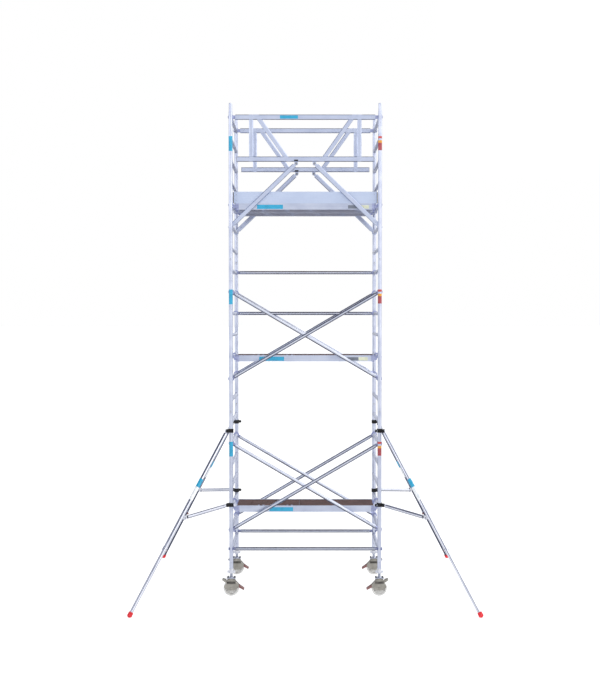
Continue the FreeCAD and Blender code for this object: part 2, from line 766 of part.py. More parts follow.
def casterWheel():
    """A solid tyre on a webbed hub, turned about Z and laid on its side."""
    rim = "(Sizes.WheelRadius - Sizes.TreadThick)"
    section = [
        ("Sizes.AxleBoreRadius", "-Sizes.HubWidth / 2"),
        ("Sizes.HubRadius", "-Sizes.HubWidth / 2"),
        ("Sizes.HubRadius + 3", "-Sizes.WebThick / 2"),
        (f"{rim} - 6", "-Sizes.WebThick / 2"),
        (f"{rim} - 3", "-Sizes.WheelWidth / 2"),
        ("Sizes.WheelRadius - 6", "-Sizes.WheelWidth / 2"),
        ("Sizes.WheelRadius - 1.5", "-Sizes.WheelWidth / 2 + 5"),
        ("Sizes.WheelRadius", "-Sizes.WheelWidth / 2 + 12"),
    ]
    mirrored = [(across, up.replace("-Sizes", "Sizes", 1).replace("+ 5", "- 5").replace("+ 12", "- 12"))
                for across, up in reversed(section)]
    return turnedBody("Wheel", section + mirrored)


def casterFork():
    """The swivelling fork: side plates with brake pivots, bridge, ball race and axle bolt."""
    half = "Sizes.BridgeHalf"
    outline = [
        (f"-{half}", "Sizes.ForkTop"), (half, "Sizes.ForkTop"), (f"{half} + 6", "166"),
        (f"{half} + 42", "128"), (f"{half} + 34", "104"), ("34", "74"),
        ("-34", "74"), (f"-{half} - 34", "104"), (f"-{half} - 42", "128"),
        (f"-{half} - 6", "166"),
    ]
    cheek = plateBody("ForkCheek", outline, "Sizes.ForkThick")
    offset = size("Sizes.ForkInside + Sizes.ForkThick / 2")
    cheeks = [copyOf(cheek, yAxis * side * offset) for side in (-1, 1)]
    bridge = block("ForkBridge", "2 * Sizes.BridgeHalf", "2 * Sizes.ForkInside", "Sizes.BridgeThick",
                   vec(0, 0, size("Sizes.ForkTop - Sizes.BridgeThick / 2")))
    race = rod("BallRace", "Sizes.RaceRadius", "Sizes.RaceTop - Sizes.ForkTop",
               zAxis * size("Sizes.ForkTop"))
    kingpinHole = rod("KingpinHole", "Sizes.KingpinBoreRadius", "Sizes.RaceTop",
                      zAxis * size("Sizes.ForkTop - Sizes.BridgeThick"))
    inside = size("Sizes.ForkInside")
    rockerPins = [rod("RockerPin", "Sizes.RockerPinRadius", "Sizes.RockerPinLength",
                      vec(0, start, size("Sizes.RockerPivotZ")), yAxis)
                  for start in (-inside - size("Sizes.RockerPinLength"), inside)]
    head = cut("ForkHead", fuse("ForkHeadBody", [bridge, race] + cheeks + rockerPins), kingpinHole)
    reach = size("Sizes.ForkInside + Sizes.ForkThick")
    axle = rod("Axle", "Sizes.AxleRadius", "2 * (Sizes.ForkInside + Sizes.ForkThick)",
               vec(0, -reach, size("Sizes.WheelRadius")), yAxis)
    ends = [rod("AxleNut", "Sizes.AxleNutRadius", "Sizes.AxleNutThick",
                vec(0, start, size("Sizes.WheelRadius")), yAxis)
            for start in (-reach - size("Sizes.AxleNutThick"), reach)]
    axleBolt = fuse("AxleBolt", [axle] + ends)
    return gather("Fork", [cut("ForkBody", head, copyOf(axle)), axleBolt])


def casterSpindle():
    """The fixed plate and kingpin, and the threaded spindle that slides in the post."""
    plate = block("SpindlePlate", "2 * Sizes.PlateHalf", "2 * Sizes.PlateHalf - 10",
                  "Sizes.PlateThick", zAxis * size("Sizes.PlateUnder + Sizes.PlateThick / 2"))
    kingpin = rod("Kingpin", "Sizes.KingpinRadius",
                  "Sizes.PlateUnder - Sizes.ForkTop + Sizes.BridgeThick",
                  zAxis * size("Sizes.ForkTop - Sizes.BridgeThick"))
    screw = tube("Screw", "Sizes.SpindleRadius", "Sizes.SpindleWall", "Sizes.SpindleLength",
                 zAxis * size("Sizes.PlateUnder + Sizes.PlateThick"))
    return fuse("Spindle", [plate, kingpin, screw])


def adjustingNut():
    """The winged nut that carries the post's foot and winds along the spindle."""
    hub = rod("NutHub", "Sizes.NutRadius", "Sizes.NutHeight", zAxis * size("Sizes.NutBottom"))
    wings = block("NutWings", "2 * Sizes.WingReach", "Sizes.WingThick", "Sizes.WingHeight",
                  zAxis * size("Sizes.NutBottom + Sizes.WingHeight / 2 + Sizes.WingLift"))
    bore = rod("NutBoreRod", "Sizes.NutBore", "Sizes.NutHeight", zAxis * size("Sizes.NutBottom"))
    return cut("AdjustingNut", fuse("NutBody", [hub, wings]), bore)


def brakePedal():
    """A rocker each side of the fork, joined by a raised release pad and a low locking pad."""
    pivot = "Sizes.RockerPivotZ"
    low = f"{pivot} - Sizes.RockerBand / 2"
    top = f"{pivot} + Sizes.RockerBand / 2"
    arm = plateBody("RockerArm", [
        ("-Sizes.RockerHalf", low), ("Sizes.RockerHalf", low), ("100", "112"),
        ("163", "80"), ("168", "98"), ("104", "142"), ("Sizes.RockerHalf + 6", top),
        ("-Sizes.RockerHalf - 6", top), ("-112", "226"), ("-119", "210")],
        "Sizes.RockerThick")
    offset = size("Sizes.RockerInside + Sizes.RockerThick / 2")
    arms = [copyOf(arm, yAxis * side * offset) for side in (-1, 1)]
    width = "2 * Sizes.RockerInside"
    lockPad = plateBody("LockPad", [("112", "118"), ("164", "86"), ("167", "95"),
                                    ("116", "128")], width)
    freePad = plateBody("FreePad", [("-70", "200"), ("-64", "209"), ("-112", "225"),
                                    ("-117", "214")], width)
    bore = rod("RockerBore", "Sizes.RockerBoreRadius", "4 * Sizes.RockerInside",
               vec(0, -2 * size("Sizes.RockerInside"), size(pivot)), yAxis)
    return cut("BrakePedal", fuse("BrakePedalBody", arms + [lockPad, freePad]), bore)


wheel = casterWheel()
fork = casterFork()
spindle = casterSpindle()
nut = adjustingNut()
pedal = brakePedal()
standingWheel = gather("StandingWheel", [copyOf(wheel, zAxis * size("Sizes.WheelRadius"), 90, xAxis)])
casterPieces = {"caster_spindle": spindle, "adjusting_nut": nut, "caster_fork": fork,
                "caster_wheel": standingWheel, "brake_pedal": pedal}
for name, (sx, sy) in corners.items():
    turn = 0 if sx < 0 else 180
    for piece, master in casterPieces.items():
        subPart(f"{name}_{piece}", [copyOf(master)], vec(sx * postX, sy * postY, 0), turn)


# ---------------------------------------------------------------- stabilisers
# Each stabiliser is built about its post's axis, with its leg leaning out along +X.

clampPin = vec(size("Sizes.ClampPinX"), 0, size("Sizes.ClampUpperZ"))
strutPin = vec(size("Sizes.ClampPinX"), 0, size("Sizes.ClampLowerZ"))
footCentre = vec(size("Sizes.FootReach"), 0, size("Sizes.FootHeight"))
legAlong = (footCentre - clampPin).normalize()
legUnder = legAlong.cross(yAxis)
if legUnder.z > 0:
    legUnder = legUnder * -1
strutEnd = clampPin + legAlong * size("Sizes.StrutFixAt") + legUnder * size("Sizes.StrutFixDrop")


def pinAt(name, centre):
    half = size("Sizes.TongueThick / 2 + Sizes.CheekThick + 6")
    return rod(name, "Sizes.ClampBoltRadius", f"{2 * half}", centre - yAxis * half, yAxis)


def coupler(z):
    """A half-coupler round the post: ring, bolted ears, hinge knuckle and two pin cheeks."""
    base = z - size("Sizes.ClampHeight / 2")
    ring = rod("ClampRing", "Sizes.ClampRadius", "Sizes.ClampHeight", zAxis * base)
    knuckle = rod("ClampKnuckle", "Sizes.ClampKnuckleRadius", "Sizes.ClampHeight",
                  vec(0, size("Sizes.ClampRadius"), base))
    solids = [ring, knuckle]
    for side in (-1, 1):
        earX = side * size("Sizes.EarGap + Sizes.EarThick / 2")
        solids.append(block("ClampEar", "Sizes.EarThick", "Sizes.EarLength", "Sizes.EarHeight",
                            vec(earX, -size("Sizes.EarLength / 2"), z)))
        cheekY = side * size("Sizes.TongueThick / 2 + Sizes.TongueGap + Sizes.CheekThick / 2")
        solids.append(block("ClampCheek", "Sizes.CheekEnd", "Sizes.CheekThick", "Sizes.CheekHeight",
                            vec(size("Sizes.CheekEnd / 2"), cheekY, z)))
    bore = rod("ClampBoreRod", "Sizes.ClampBore", "Sizes.ClampHeight", zAxis * base)
    slot = block("ClampSlot", "2 * Sizes.EarGap", "Sizes.EarLength", "Sizes.ClampHeight",
                 vec(0, -size("Sizes.EarLength / 2"), z))
    boltY = size("Sizes.EarBoltInset - Sizes.EarLength")
    boltHalf = size("Sizes.EarGap + Sizes.EarThick")
    shank = rod("ClampBoltShank", "Sizes.ClampBoltRadius", f"{2 * boltHalf}",
                vec(-boltHalf, boltY, z), xAxis)
    heads = [rod("ClampBoltHead", "Sizes.BoltHeadRadius", "Sizes.BoltHeadThick",
                 vec(start, boltY, z), xAxis)
             for start in (-boltHalf - size("Sizes.BoltHeadThick"), boltHalf)]
    bolt = fuse("ClampBolt", [shank] + heads)
    pin = pinAt("ClampPin", vec(clampPin.x, 0, z))
    body = cut("CouplerBody", fuse("CouplerSolid", solids), bore, slot, copyOf(shank), copyOf(pin))
    return gather("Coupler", [body, bolt, pin])


def tongue(name, pinPlace, along):
    """The flat end of a tube: a round eye on its pin and a plate that enters the tube."""
    half = yAxis * size("Sizes.TongueThick / 2")
    eye = rod(name + "Eye", "Sizes.TongueEyeRadius", "Sizes.TongueThick", pinPlace - half, yAxis)
    plate = block(name + "Plate", "Sizes.TongueLength", "Sizes.TongueThick", "Sizes.TongueHeight",
                  xAxis * size("Sizes.TongueLength / 2"))
    tilt = -math.degrees(math.atan2(along.z, along.x))
    plate.Placement = FreeCAD.Placement(pinPlace, FreeCAD.Rotation(yAxis, tilt)).multiply(plate.Placement)
    return cut(name, fuse(name + "Solid", [eye, plate]), pinAt(name + "PinHole", pinPlace))


def outerLeg():
    """The fixed tube of a stabiliser with its clamping collar, strut bracket and lower strut."""
    tubeStart = clampPin + legAlong * size("Sizes.LegTubeStart")
    length = "Sizes.OuterLegEnd - Sizes.LegTubeStart"
    main = tube("OuterLegTube", "Sizes.OuterLegRadius", "Sizes.OuterLegWall", length, tubeStart, legAlong)
    cope = rod("LegCope", "Sizes.OuterLegRadius", length, tubeStart, legAlong)
    collarStart = clampPin + legAlong * size("Sizes.OuterLegEnd - Sizes.CollarLength")
    collar = tube("Collar", "Sizes.CollarRadius", "(Sizes.CollarRadius - Sizes.OuterLegRadius)",
                  "Sizes.CollarLength", collarStart, legAlong)
    cheeks = []
    for side in (-1, 1):
        y = side * size("Sizes.TongueThick / 2 + Sizes.TongueGap + Sizes.CheekThick / 2")
        cheek = block("StrutCheek", "Sizes.StrutCheekSize", "Sizes.CheekThick",
                      "Sizes.StrutCheekSize", zAxis * -size("Sizes.StrutCheekDrop"))
        tilt = -math.degrees(math.atan2(legAlong.z, legAlong.x))
        spot = clampPin + legAlong * size("Sizes.StrutFixAt") + yAxis * y
        cheek.Placement = FreeCAD.Placement(spot, FreeCAD.Rotation(yAxis, tilt)).multiply(cheek.Placement)
        cheeks.append(cut("StrutCheekPlate", cheek, copyOf(cope), pinAt("CheekPinHole", strutEnd)))
    strutAlong = (strutEnd - strutPin).normalize()
    strutLength = (strutEnd - strutPin).Length - 2 * size("Sizes.LegTubeStart")
    strut = tube("LowerStrut", "Sizes.StrutRadius", "Sizes.StrutWall", f"{strutLength}",
                 strutPin + strutAlong * size("Sizes.LegTubeStart"), strutAlong)
    ends = [tongue("LegTongue", clampPin, legAlong), tongue("StrutTongue", strutPin, strutAlong),
            tongue("StrutFarTongue", strutEnd, strutAlong * -1)]
    return gather("OuterLeg", [main, collar, strut, pinAt("StrutBolt", strutEnd)] + cheeks + ends)


innerEnd = (footCentre - clampPin).Length - size("Sizes.FootHeight")
innerStart = clampPin + legAlong * size("Sizes.InnerLegStart")
innerLength = f"{innerEnd} - Sizes.InnerLegStart"


def stabiliserFoot():
    """A round rubber foot over the end of the inner leg, worn flat where it stands."""
    ball = make("Part::Sphere", "FootBall", Radius="Sizes.FootRadius")
    place(ball, footCentre)
    sleeveStart = clampPin + legAlong * (innerEnd - size("Sizes.FootSleeveLength"))
    sleeve = rod("FootSleeve", "Sizes.FootSleeveRadius", "Sizes.FootSleeveLength + Sizes.FootSleeveOverlap",
                 sleeveStart, legAlong)
    socket = rod("FootSocket", "Sizes.InnerLegRadius", innerLength, innerStart, legAlong)
    width = "4 * Sizes.FootRadius"
    below = block("BelowFloor", width, width, "2 * Sizes.FootRadius",
                  vec(footCentre.x, 0, -size("Sizes.FootRadius")))
    return cut("Foot", fuse("FootSolid", [ball, sleeve]), socket, below)


clamps = gather("Clamps", [coupler(size("Sizes.ClampUpperZ")), coupler(size("Sizes.ClampLowerZ"))])
stabiliserLeg = outerLeg()
innerLeg = tube("InnerLeg", "Sizes.InnerLegRadius", "Sizes.InnerLegWall", innerLength, innerStart,
                legAlong)
foot = stabiliserFoot()
stabiliserPieces = {"stabiliser_clamps": clamps, "stabiliser_leg": stabiliserLeg,
                    "stabiliser_inner_leg": innerLeg, "stabiliser_foot": foot}
for name, (sx, sy) in corners.items():
    turn = math.degrees(math.atan2(sy, sx))
    for piece, master in stabiliserPieces.items():
        subPart(f"{name}_{piece}", [copyOf(master)], vec(sx * postX, sy * postY, 0), turn)


# ---------------------------------------------------------------- checks and export

doc.recompute()
failed = [item.Label for item in doc.Objects
          if "Invalid" in item.State or "Error" in item.State]
failed += [node.Label for node in subParts if node.Shape.isNull() or not node.Shape.isValid()]
if failed:
    raise RuntimeError("failed to build: " + ", ".join(failed))

for node in subParts:
    node.Shape.exportStep(f"parts/{node.Label}.step")
    print(node.Label, len(node.Shape.Solids), "solids", round(node.Shape.Volume / 1000), "cm3")
print(len(subParts), "sub-parts")
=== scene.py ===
import bpy
import bmesh
import math
from mathutils import Matrix, Vector


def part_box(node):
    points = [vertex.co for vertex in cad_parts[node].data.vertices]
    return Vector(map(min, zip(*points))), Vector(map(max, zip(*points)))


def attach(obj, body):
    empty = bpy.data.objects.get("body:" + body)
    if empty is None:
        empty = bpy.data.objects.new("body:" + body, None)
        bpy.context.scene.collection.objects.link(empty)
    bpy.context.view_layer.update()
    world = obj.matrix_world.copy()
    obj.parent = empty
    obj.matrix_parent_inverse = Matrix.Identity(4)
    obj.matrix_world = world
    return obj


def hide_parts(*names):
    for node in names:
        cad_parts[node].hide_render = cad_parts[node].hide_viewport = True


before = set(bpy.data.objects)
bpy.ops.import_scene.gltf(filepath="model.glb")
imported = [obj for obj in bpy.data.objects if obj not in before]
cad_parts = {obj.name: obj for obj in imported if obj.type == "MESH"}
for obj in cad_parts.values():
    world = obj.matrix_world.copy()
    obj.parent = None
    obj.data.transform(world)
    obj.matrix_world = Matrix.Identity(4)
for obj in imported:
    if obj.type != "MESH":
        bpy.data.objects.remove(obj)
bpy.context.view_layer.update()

# Mobile aluminium tower scaffold. The tubes, decks and boards keep their shapes and get their
# finishes here. Casters, couplers, feet, fasteners, welds and film bands are modelled on top.
# Shapes are written in millimetres and brought to metres as each piece is made.

mm = 0.001
nothing = Matrix.Identity(4)


def boxOf(nodeName):
    low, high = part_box(nodeName)
    return low / mm, high / mm


tower = {
    "postRadius": 25.4,
    "rungRadius": 22,
    "footToRung": 215,
    "rungPitch": 280,
    "rungCount": 21,
    "outerBraceY": 600,
    "innerBraceY": 555,
    "corners": {"front_left": (-1, -1), "front_right": (1, -1),
                "rear_left": (-1, 1), "rear_right": (1, 1)},
}
frameLow = boxOf("left_top_frame")[0]
postX = -frameLow.x - tower["postRadius"]
postY = -frameLow.y - tower["postRadius"]
baseFoot = boxOf("left_base_frame")[0].z
frameTops = [baseFoot + (storey + 1) * tower["rungPitch"] * 7 for storey in range(3)]


def rungZ(number):
    return baseFoot + tower["footToRung"] + number * tower["rungPitch"]


# ---- mesh tools, all in millimetres

def moved(x=0, y=0, z=0):
    return Matrix.Translation((x, y, z))


def turned(degrees, axis):
    return Matrix.Rotation(math.radians(degrees), 4, axis)


def aimed(start, direction):
    return Matrix.Translation(start) @ direction.to_track_quat("Z", "Y").to_matrix().to_4x4()


def facing(side, x, y, z):
    # a seat on the front or the back of a piece, whose local Z points outwards
    return aimed(Vector((x, y, z)), Vector((0, side, 0)))


def softened(outline, reach, steps=4):
    # an outline with its corners rounded
    points = []
    count = len(outline)
    for index, corner in enumerate(outline):
        here = Vector(corner)
        before = Vector(outline[index - 1]) - here
        after = Vector(outline[(index + 1) % count]) - here
        cut = min(reach, 0.45 * before.length, 0.45 * after.length)
        start = here + before.normalized() * cut
        end = here + after.normalized() * cut
        for step in range(steps + 1):
            share = step / steps
            points.append(start * (1 - share) ** 2 + here * 2 * share * (1 - share) + end * share ** 2)
    return points


def oblong(halfWide, halfHigh, reach):
    return softened([(-halfWide, -halfHigh), (halfWide, -halfHigh), (halfWide, halfHigh),
                     (-halfWide, halfHigh)], reach)


def plate(bm, outline, thick, at=nothing, finish=0):
    # a flat plate: outline across X and Z, thickness along Y
    front, back = ([bm.verts.new(at @ Vector((x, side * thick / 2, z))) for x, z in outline]
                   for side in (-1, 1))
    faces = [bm.faces.new(front), bm.faces.new(back[::-1])]
    for index in range(len(outline)):
        follow = (index + 1) % len(outline)
        faces.append(bm.faces.new((front[follow], front[index], back[index], back[follow])))
    for face in faces:
        face.material_index = finish


def bar(bm, low, high, at=nothing, finish=0):
    # a straight-sided block between two corners
    middle = (low[1] + high[1]) / 2
    outline = [(low[0], low[2]), (high[0], low[2]), (high[0], high[2]), (low[0], high[2])]
    plate(bm, outline, high[1] - low[1], at @ moved(y=middle), finish)


def lathe(bm, profile, at=nothing, steps=32, finish=0, closed=False, sweep=360.0):
    # profile holds (radius, height) pairs and is turned about Z
    whole = sweep >= 360
    count = steps if whole else steps + 1
    rings = []
    for radius, height in profile:
        spokes = [math.radians(sweep) * k / steps for k in range(count)]
        if radius < 1e-6:
            rings.append([bm.verts.new(at @ Vector((0, 0, height)))] * count)
        else:
            rings.append([bm.verts.new(at @ Vector((radius * math.cos(a), radius * math.sin(a), height)))
                          for a in spokes])
    pairs = list(zip(rings, rings[1:]))
    if closed:
        pairs.append((rings[-1], rings[0]))
    for first, second in pairs:
        for k in range(steps):
            follow = (k + 1) % count
            corners = list(dict.fromkeys((first[k], first[follow], second[follow], second[k])))
            if len(corners) > 2:
                face = bm.faces.new(corners)
                face.smooth = True
                face.material_index = finish
    if not whole:
        for end in (0, -1):
            bm.faces.new([ring[end] for ring in rings]).material_index = finish


def hoop(bm, major, minor, at=nothing, steps=24, finish=0):
    # a round wire ring about Z
    around = [2 * math.pi * k / 8 for k in range(8)]
    lathe(bm, [(major + minor * math.cos(a), minor * math.sin(a)) for a in around],
          at, steps, finish, closed=True)


def rod(bm, radius, low, high, at=nothing, steps=24, finish=0):
    lathe(bm, [(0, low), (radius, low), (radius, high), (0, high)], at, steps, finish)


def hexBolt(bm, across, height, at=nothing, finish=0):
    # washer and chamfered hexagon, standing on Z = 0
    corner = across / math.sqrt(3)
    rod(bm, corner * 1.25, 0, 1.6, at, 24, finish)
    lathe(bm, [(0, 1.6), (corner, 1.6), (corner, height * 0.85), (corner * 0.86, height), (0, height)],
          at, 6, finish)


def rivet(bm, radius, height, at=nothing, finish=0):
    dome = [(radius * math.sin(a), height * math.cos(a))
            for a in (math.radians(degrees) for degrees in (0, 30, 60, 90))]
    lathe(bm, dome, at, 16, finish)


def rivetPair(bm, spot, out, finish=0):
    # a rivet's two heads, on the front and the back of a tube
    for side in (-1, 1):
        rivet(bm, 5, 2.4, facing(side, spot.x, spot.y + side * out, spot.z), finish)


def wrap(bm, radius, thick, low, high, start, end, at=nothing, finish=0, steps=20):
    # a thin film wrapped round part of a tube about Z
    turn = at @ turned(start, "Z")
    lathe(bm, [(radius, low), (radius, high), (radius + thick, high), (radius + thick, low)],
          turn, steps, finish, closed=True, sweep=end - start)


def makePiece(name, build, materials, body, at=nothing, stands=(), bevel=0.0):
    bm = bmesh.new()
    build(bm)
    bmesh.ops.transform(bm, matrix=at @ Matrix.Scale(mm, 4), verts=bm.verts)
    bmesh.ops.recalc_face_normals(bm, faces=bm.faces)
    mesh = bpy.data.meshes.new(name)
    bm.to_mesh(mesh)
    bm.free()
    for material in materials:
        mesh.materials.append(material)
    mesh.shade_smooth()
    mesh.set_sharp_from_angle(angle=math.radians(34))
    piece = bpy.data.objects.new(name, mesh)
    bpy.context.collection.objects.link(piece)
    if bevel:
        edges = piece.modifiers.new("edges", "BEVEL")
        edges.width = bevel * mm
        edges.segments = 2
        edges.limit_method = "ANGLE"
        edges.angle_limit = math.radians(34)
        edges.harden_normals = True
    if stands:
        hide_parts(*stands)
    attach(piece, body)
    return piece


# ---- finishes

def colour(hexCode):
    # sRGB hex to the linear values that shaders use
    parts = [int(hexCode[i:i + 2], 16) / 255 for i in (1, 3, 5)]
    return [p / 12.92 if p <= 0.04045 else ((p + 0.055) / 1.055) ** 2.4 for p in parts] + [1.0]


def addNode(tree, kind, settings=None, links=None):
    made = tree.nodes.new("ShaderNode" + kind)
    for key, value in (settings or {}).items():
        if key in made.inputs.keys() or isinstance(key, int):
            made.inputs[key].default_value = value
        else:
            setattr(made, key, value)
    for key, socket in (links or {}).items():
        tree.links.new(socket, made.inputs[key])
    return made


def startFinish(name, settings):
    material = bpy.data.materials.new(name)
    material.use_nodes = True
    tree = material.node_tree
    tree.nodes.clear()
    shader = addNode(tree, "BsdfPrincipled", settings)
    addNode(tree, "OutputMaterial", None, {"Surface": shader.outputs[0]})
    spot = addNode(tree, "TexCoord").outputs["Object"]
    return material, tree, shader, spot


def blotches(tree, spot, size, detail=3):
    # soft noise whose spots are about the given size in millimetres
    return addNode(tree, "TexNoise", {"Scale": 1 / (size * mm), "Detail": detail},
                   {"Vector": spot}).outputs["Fac"]


def streaks(tree, spot, pitch, length, along, turn=(0, 0, 0)):
    # noise drawn out along one axis, as a die or a draw plate leaves it
    scale = [1 / (pitch * mm)] * 3
    scale[along] = 1 / (length * mm)
    stretched = addNode(tree, "Mapping", {"vector_type": "TEXTURE"}, {"Vector": spot})
    stretched.inputs["Rotation"].default_value = [math.radians(a) for a in turn]
    stretched.inputs["Scale"].default_value = [1 / s for s in scale]
    return addNode(tree, "TexNoise", {"Scale": 1.0, "Detail": 2.0},
                   {"Vector": stretched.outputs[0]}).outputs["Fac"]


def ramp(tree, fac, stops):
    made = addNode(tree, "ValToRGB", None, {"Fac": fac})
    elements = made.color_ramp.elements
    while len(elements) < len(stops):
        elements.new(0.5)
    for element, (place, hexCode) in zip(elements, stops):
        element.position = place
        element.color = colour(hexCode)
    return made.outputs["Color"]


def between(tree, fac, low, high):
    return addNode(tree, "MapRange", {"To Min": low, "To Max": high}, {"Value": fac}).outputs[0]


def raised(tree, shader, height, depth, strength=1.0):
    bump = addNode(tree, "Bump", {"Strength": strength, "Distance": depth * mm}, {"Height": height})
    tree.links.new(bump.outputs[0], shader.inputs["Normal"])


def joined(tree, operation, first, second):
    made = addNode(tree, "Math", {"operation": operation})
    for index, value in enumerate((first, second)):
        if isinstance(value, (int, float)):
            made.inputs[index].default_value = value
        else:
            tree.links.new(value, made.inputs[index])
    return made.outputs[0]


def blended(tree, first, second, share):
    return joined(tree, "ADD", joined(tree, "MULTIPLY", first, share),
                  joined(tree, "MULTIPLY", second, 1 - share))


def dress(tree, shader, fac, look, stops, rougher, smoother):
    # the tones from dark to light, with the darker spots rougher
    tone = ramp(tree, fac, list(zip(stops, (look["dark"], look["middle"], look["light"]))))
    tree.links.new(tone, shader.inputs["Base Color"])
    tree.links.new(between(tree, fac, look["rough"] + rougher, look["rough"] - smoother),
                   shader.inputs["Roughness"])


def drawnMetal(name, look):
    # light and dark tones in soft blotches, streaks along the tube, and a few brighter scratches
    material, tree, shader, spot = startFinish(name, {"Metallic": look.get("metallic", 1.0)})
    cloud = blotches(tree, spot, look["blotch"])
    lines = streaks(tree, spot, look["linePitch"], look["lineLength"], look["along"],
                    look.get("turn", (0, 0, 0)))
    dress(tree, shader, blended(tree, cloud, lines, 0.55), look, (0.2, 0.5, 0.8), 0.08, 0.08)
    raised(tree, shader, lines, look["lineDepth"])
    return material


# extruded aluminium, mill finish: pale and slightly blue, with fine flutes along every rung
# that stop a foot from slipping and faint die lines down the posts. The flutes are 3.5 mm apart.
ladder = {"light": "#dfe4f3", "middle": "#ccd2e6", "dark": "#b4bbd3", "rough": 0.36,
          "blotch": 160, "dieLine": 4.0, "flutes": 36, "fluteDepth": 0.5}


def ladderFinish():
    material, tree, shader, spot = startFinish("ladderExtrudedAluminium", {"Metallic": 1.0})
    axes = addNode(tree, "SeparateXYZ", None, {0: spot})
    fromPostX = joined(tree, "SUBTRACT", joined(tree, "ABSOLUTE", axes.outputs[0], 0), postX * mm)
    fromPostY = joined(tree, "SUBTRACT", joined(tree, "ABSOLUTE", axes.outputs[1], 0), postY * mm)
    upRung = joined(tree, "SUBTRACT", axes.outputs[2], rungZ(0) * mm)
    half = tower["rungPitch"] * mm / 2
    lifted = joined(tree, "ADD", upRung, half)
    nearRung = joined(tree, "SUBTRACT", joined(tree, "FLOORED_MODULO", lifted, 2 * half), half)
    roundRung = joined(tree, "ARCTAN2", nearRung, fromPostX)
    flute = joined(tree, "SINE", joined(tree, "MULTIPLY", roundRung, ladder["flutes"]), 0)
    onRung = joined(tree, "LESS_THAN", fromPostY, -tower["postRadius"] * mm)
    roundPost = joined(tree, "MULTIPLY", joined(tree, "ARCTAN2", fromPostY, fromPostX),
                       tower["postRadius"] / ladder["dieLine"])
    lineSpot = addNode(tree, "CombineXYZ", None,
                       {0: roundPost, 2: joined(tree, "MULTIPLY", axes.outputs[2], 1.5)})
    dieLines = addNode(tree, "TexNoise", {"Scale": 1.0, "Detail": 2.0},
                       {"Vector": lineSpot.outputs[0]}).outputs["Fac"]
    height = addNode(tree, "Mix", {"data_type": "FLOAT"},
                     {0: onRung, 2: dieLines, 3: flute}).outputs[0]
    cloud = blotches(tree, spot, ladder["blotch"])
    dress(tree, shader, blended(tree, cloud, dieLines, 0.6), ladder, (0.3, 0.5, 0.72), 0.1, 0.06)
    raised(tree, shader, height, ladder["fluteDepth"])
    return material


# drawn aluminium tube: shinier than the ladder frames, with draw lines that follow each brace
tubeLook = {"light": "#e2e6f2", "middle": "#d4d9e8", "dark": "#c0c6d9", "rough": 0.25, "blotch": 220,
            "linePitch": 5, "lineLength": 600, "along": 0, "lineDepth": 0.03}
levelTube = drawnMetal("drawnAluminiumLevelTube", tubeLook)


def crossedTube():
    # the outer diagonals rise to the right and the inner ones fall, so the lines turn with them
    material, tree, shader, spot = startFinish("drawnAluminiumDiagonalTube", {"Metallic": 1.0})
    tilt = math.degrees(math.atan2(4 * tower["rungPitch"], 2 * postX))
    cloud = blotches(tree, spot, tubeLook["blotch"])
    rising, falling = (streaks(tree, spot, tubeLook["linePitch"], tubeLook["lineLength"], 0, (0, turn, 0))
                       for turn in (-tilt, tilt))
    axes = addNode(tree, "SeparateXYZ", None, {0: spot})
    midway = (tower["outerBraceY"] + tower["innerBraceY"]) / 2 * mm
    outer = joined(tree, "GREATER_THAN", joined(tree, "ABSOLUTE", axes.outputs[1], 0), midway)
    lines = addNode(tree, "Mix", {"data_type": "FLOAT"}, {0: outer, 2: falling, 3: rising}).outputs[0]
    dress(tree, shader, blended(tree, cloud, lines, 0.55), tubeLook, (0.3, 0.52, 0.7), 0.08, 0.08)
    raised(tree, shader, lines, tubeLook["lineDepth"])
    return material


# flat-oval extruded aluminium: satin, with long die lines along the rails
railOval = drawnMetal("flatOvalExtrudedAluminium", {
    "light": "#d8e0f4", "middle": "#c9d2ea", "dark": "#b6c0db", "rough": 0.36, "blotch": 180,
    "linePitch": 4, "lineLength": 700, "along": 0, "lineDepth": 0.15})

# box-section extruded aluminium of the platforms: satin, with low ribs along the beams
beamBox = drawnMetal("boxExtrudedAluminium", {
    "light": "#dbe1f1", "middle": "#c6cee3", "dark": "#a9b1cb", "rough": 0.4, "blotch": 200,
    "linePitch": 6, "lineLength": 900, "along": 0, "lineDepth": 0.25})

# folded and brushed aluminium sheet of the toe boards: flat, pale blue and almost matt
toeSheet = drawnMetal("brushedAluminiumSheet", {
    "light": "#d2ddf3", "middle": "#c6d2eb", "dark": "#b9c6e1", "rough": 0.46, "blotch": 260,
    "linePitch": 3, "lineLength": 300, "along": 0, "lineDepth": 0.08, "metallic": 0.85})


def legTube():
    # bright drawn aluminium tube of the stabilisers: the four legs fold onto one, so that the
    # draw lines run along all of them
    look = {"light": "#eaecf5", "middle": "#dadde9", "dark": "#c3c8d8", "rough": 0.2,
            "linePitch": 6, "lineLength": 500, "lineDepth": 0.05, "lean": -36.5, "heading": 45}
    material, tree, shader, spot = startFinish("brightDrawnAluminium", {"Metallic": 1.0})
    axes = addNode(tree, "SeparateXYZ", None, {0: spot})
    folded = addNode(tree, "CombineXYZ", None, {
        0: joined(tree, "ABSOLUTE", axes.outputs[0], 0), 1: joined(tree, "ABSOLUTE", axes.outputs[1], 0),
        2: axes.outputs[2]}).outputs[0]
    lines = streaks(tree, folded, look["linePitch"], look["lineLength"], 2,
                    (0, look["lean"], look["heading"]))
    cloud = blotches(tree, spot, 240)
    dress(tree, shader, blended(tree, cloud, lines, 0.5), look, (0.3, 0.52, 0.7), 0.1, 0.06)
    raised(tree, shader, lines, look["lineDepth"])
    return material


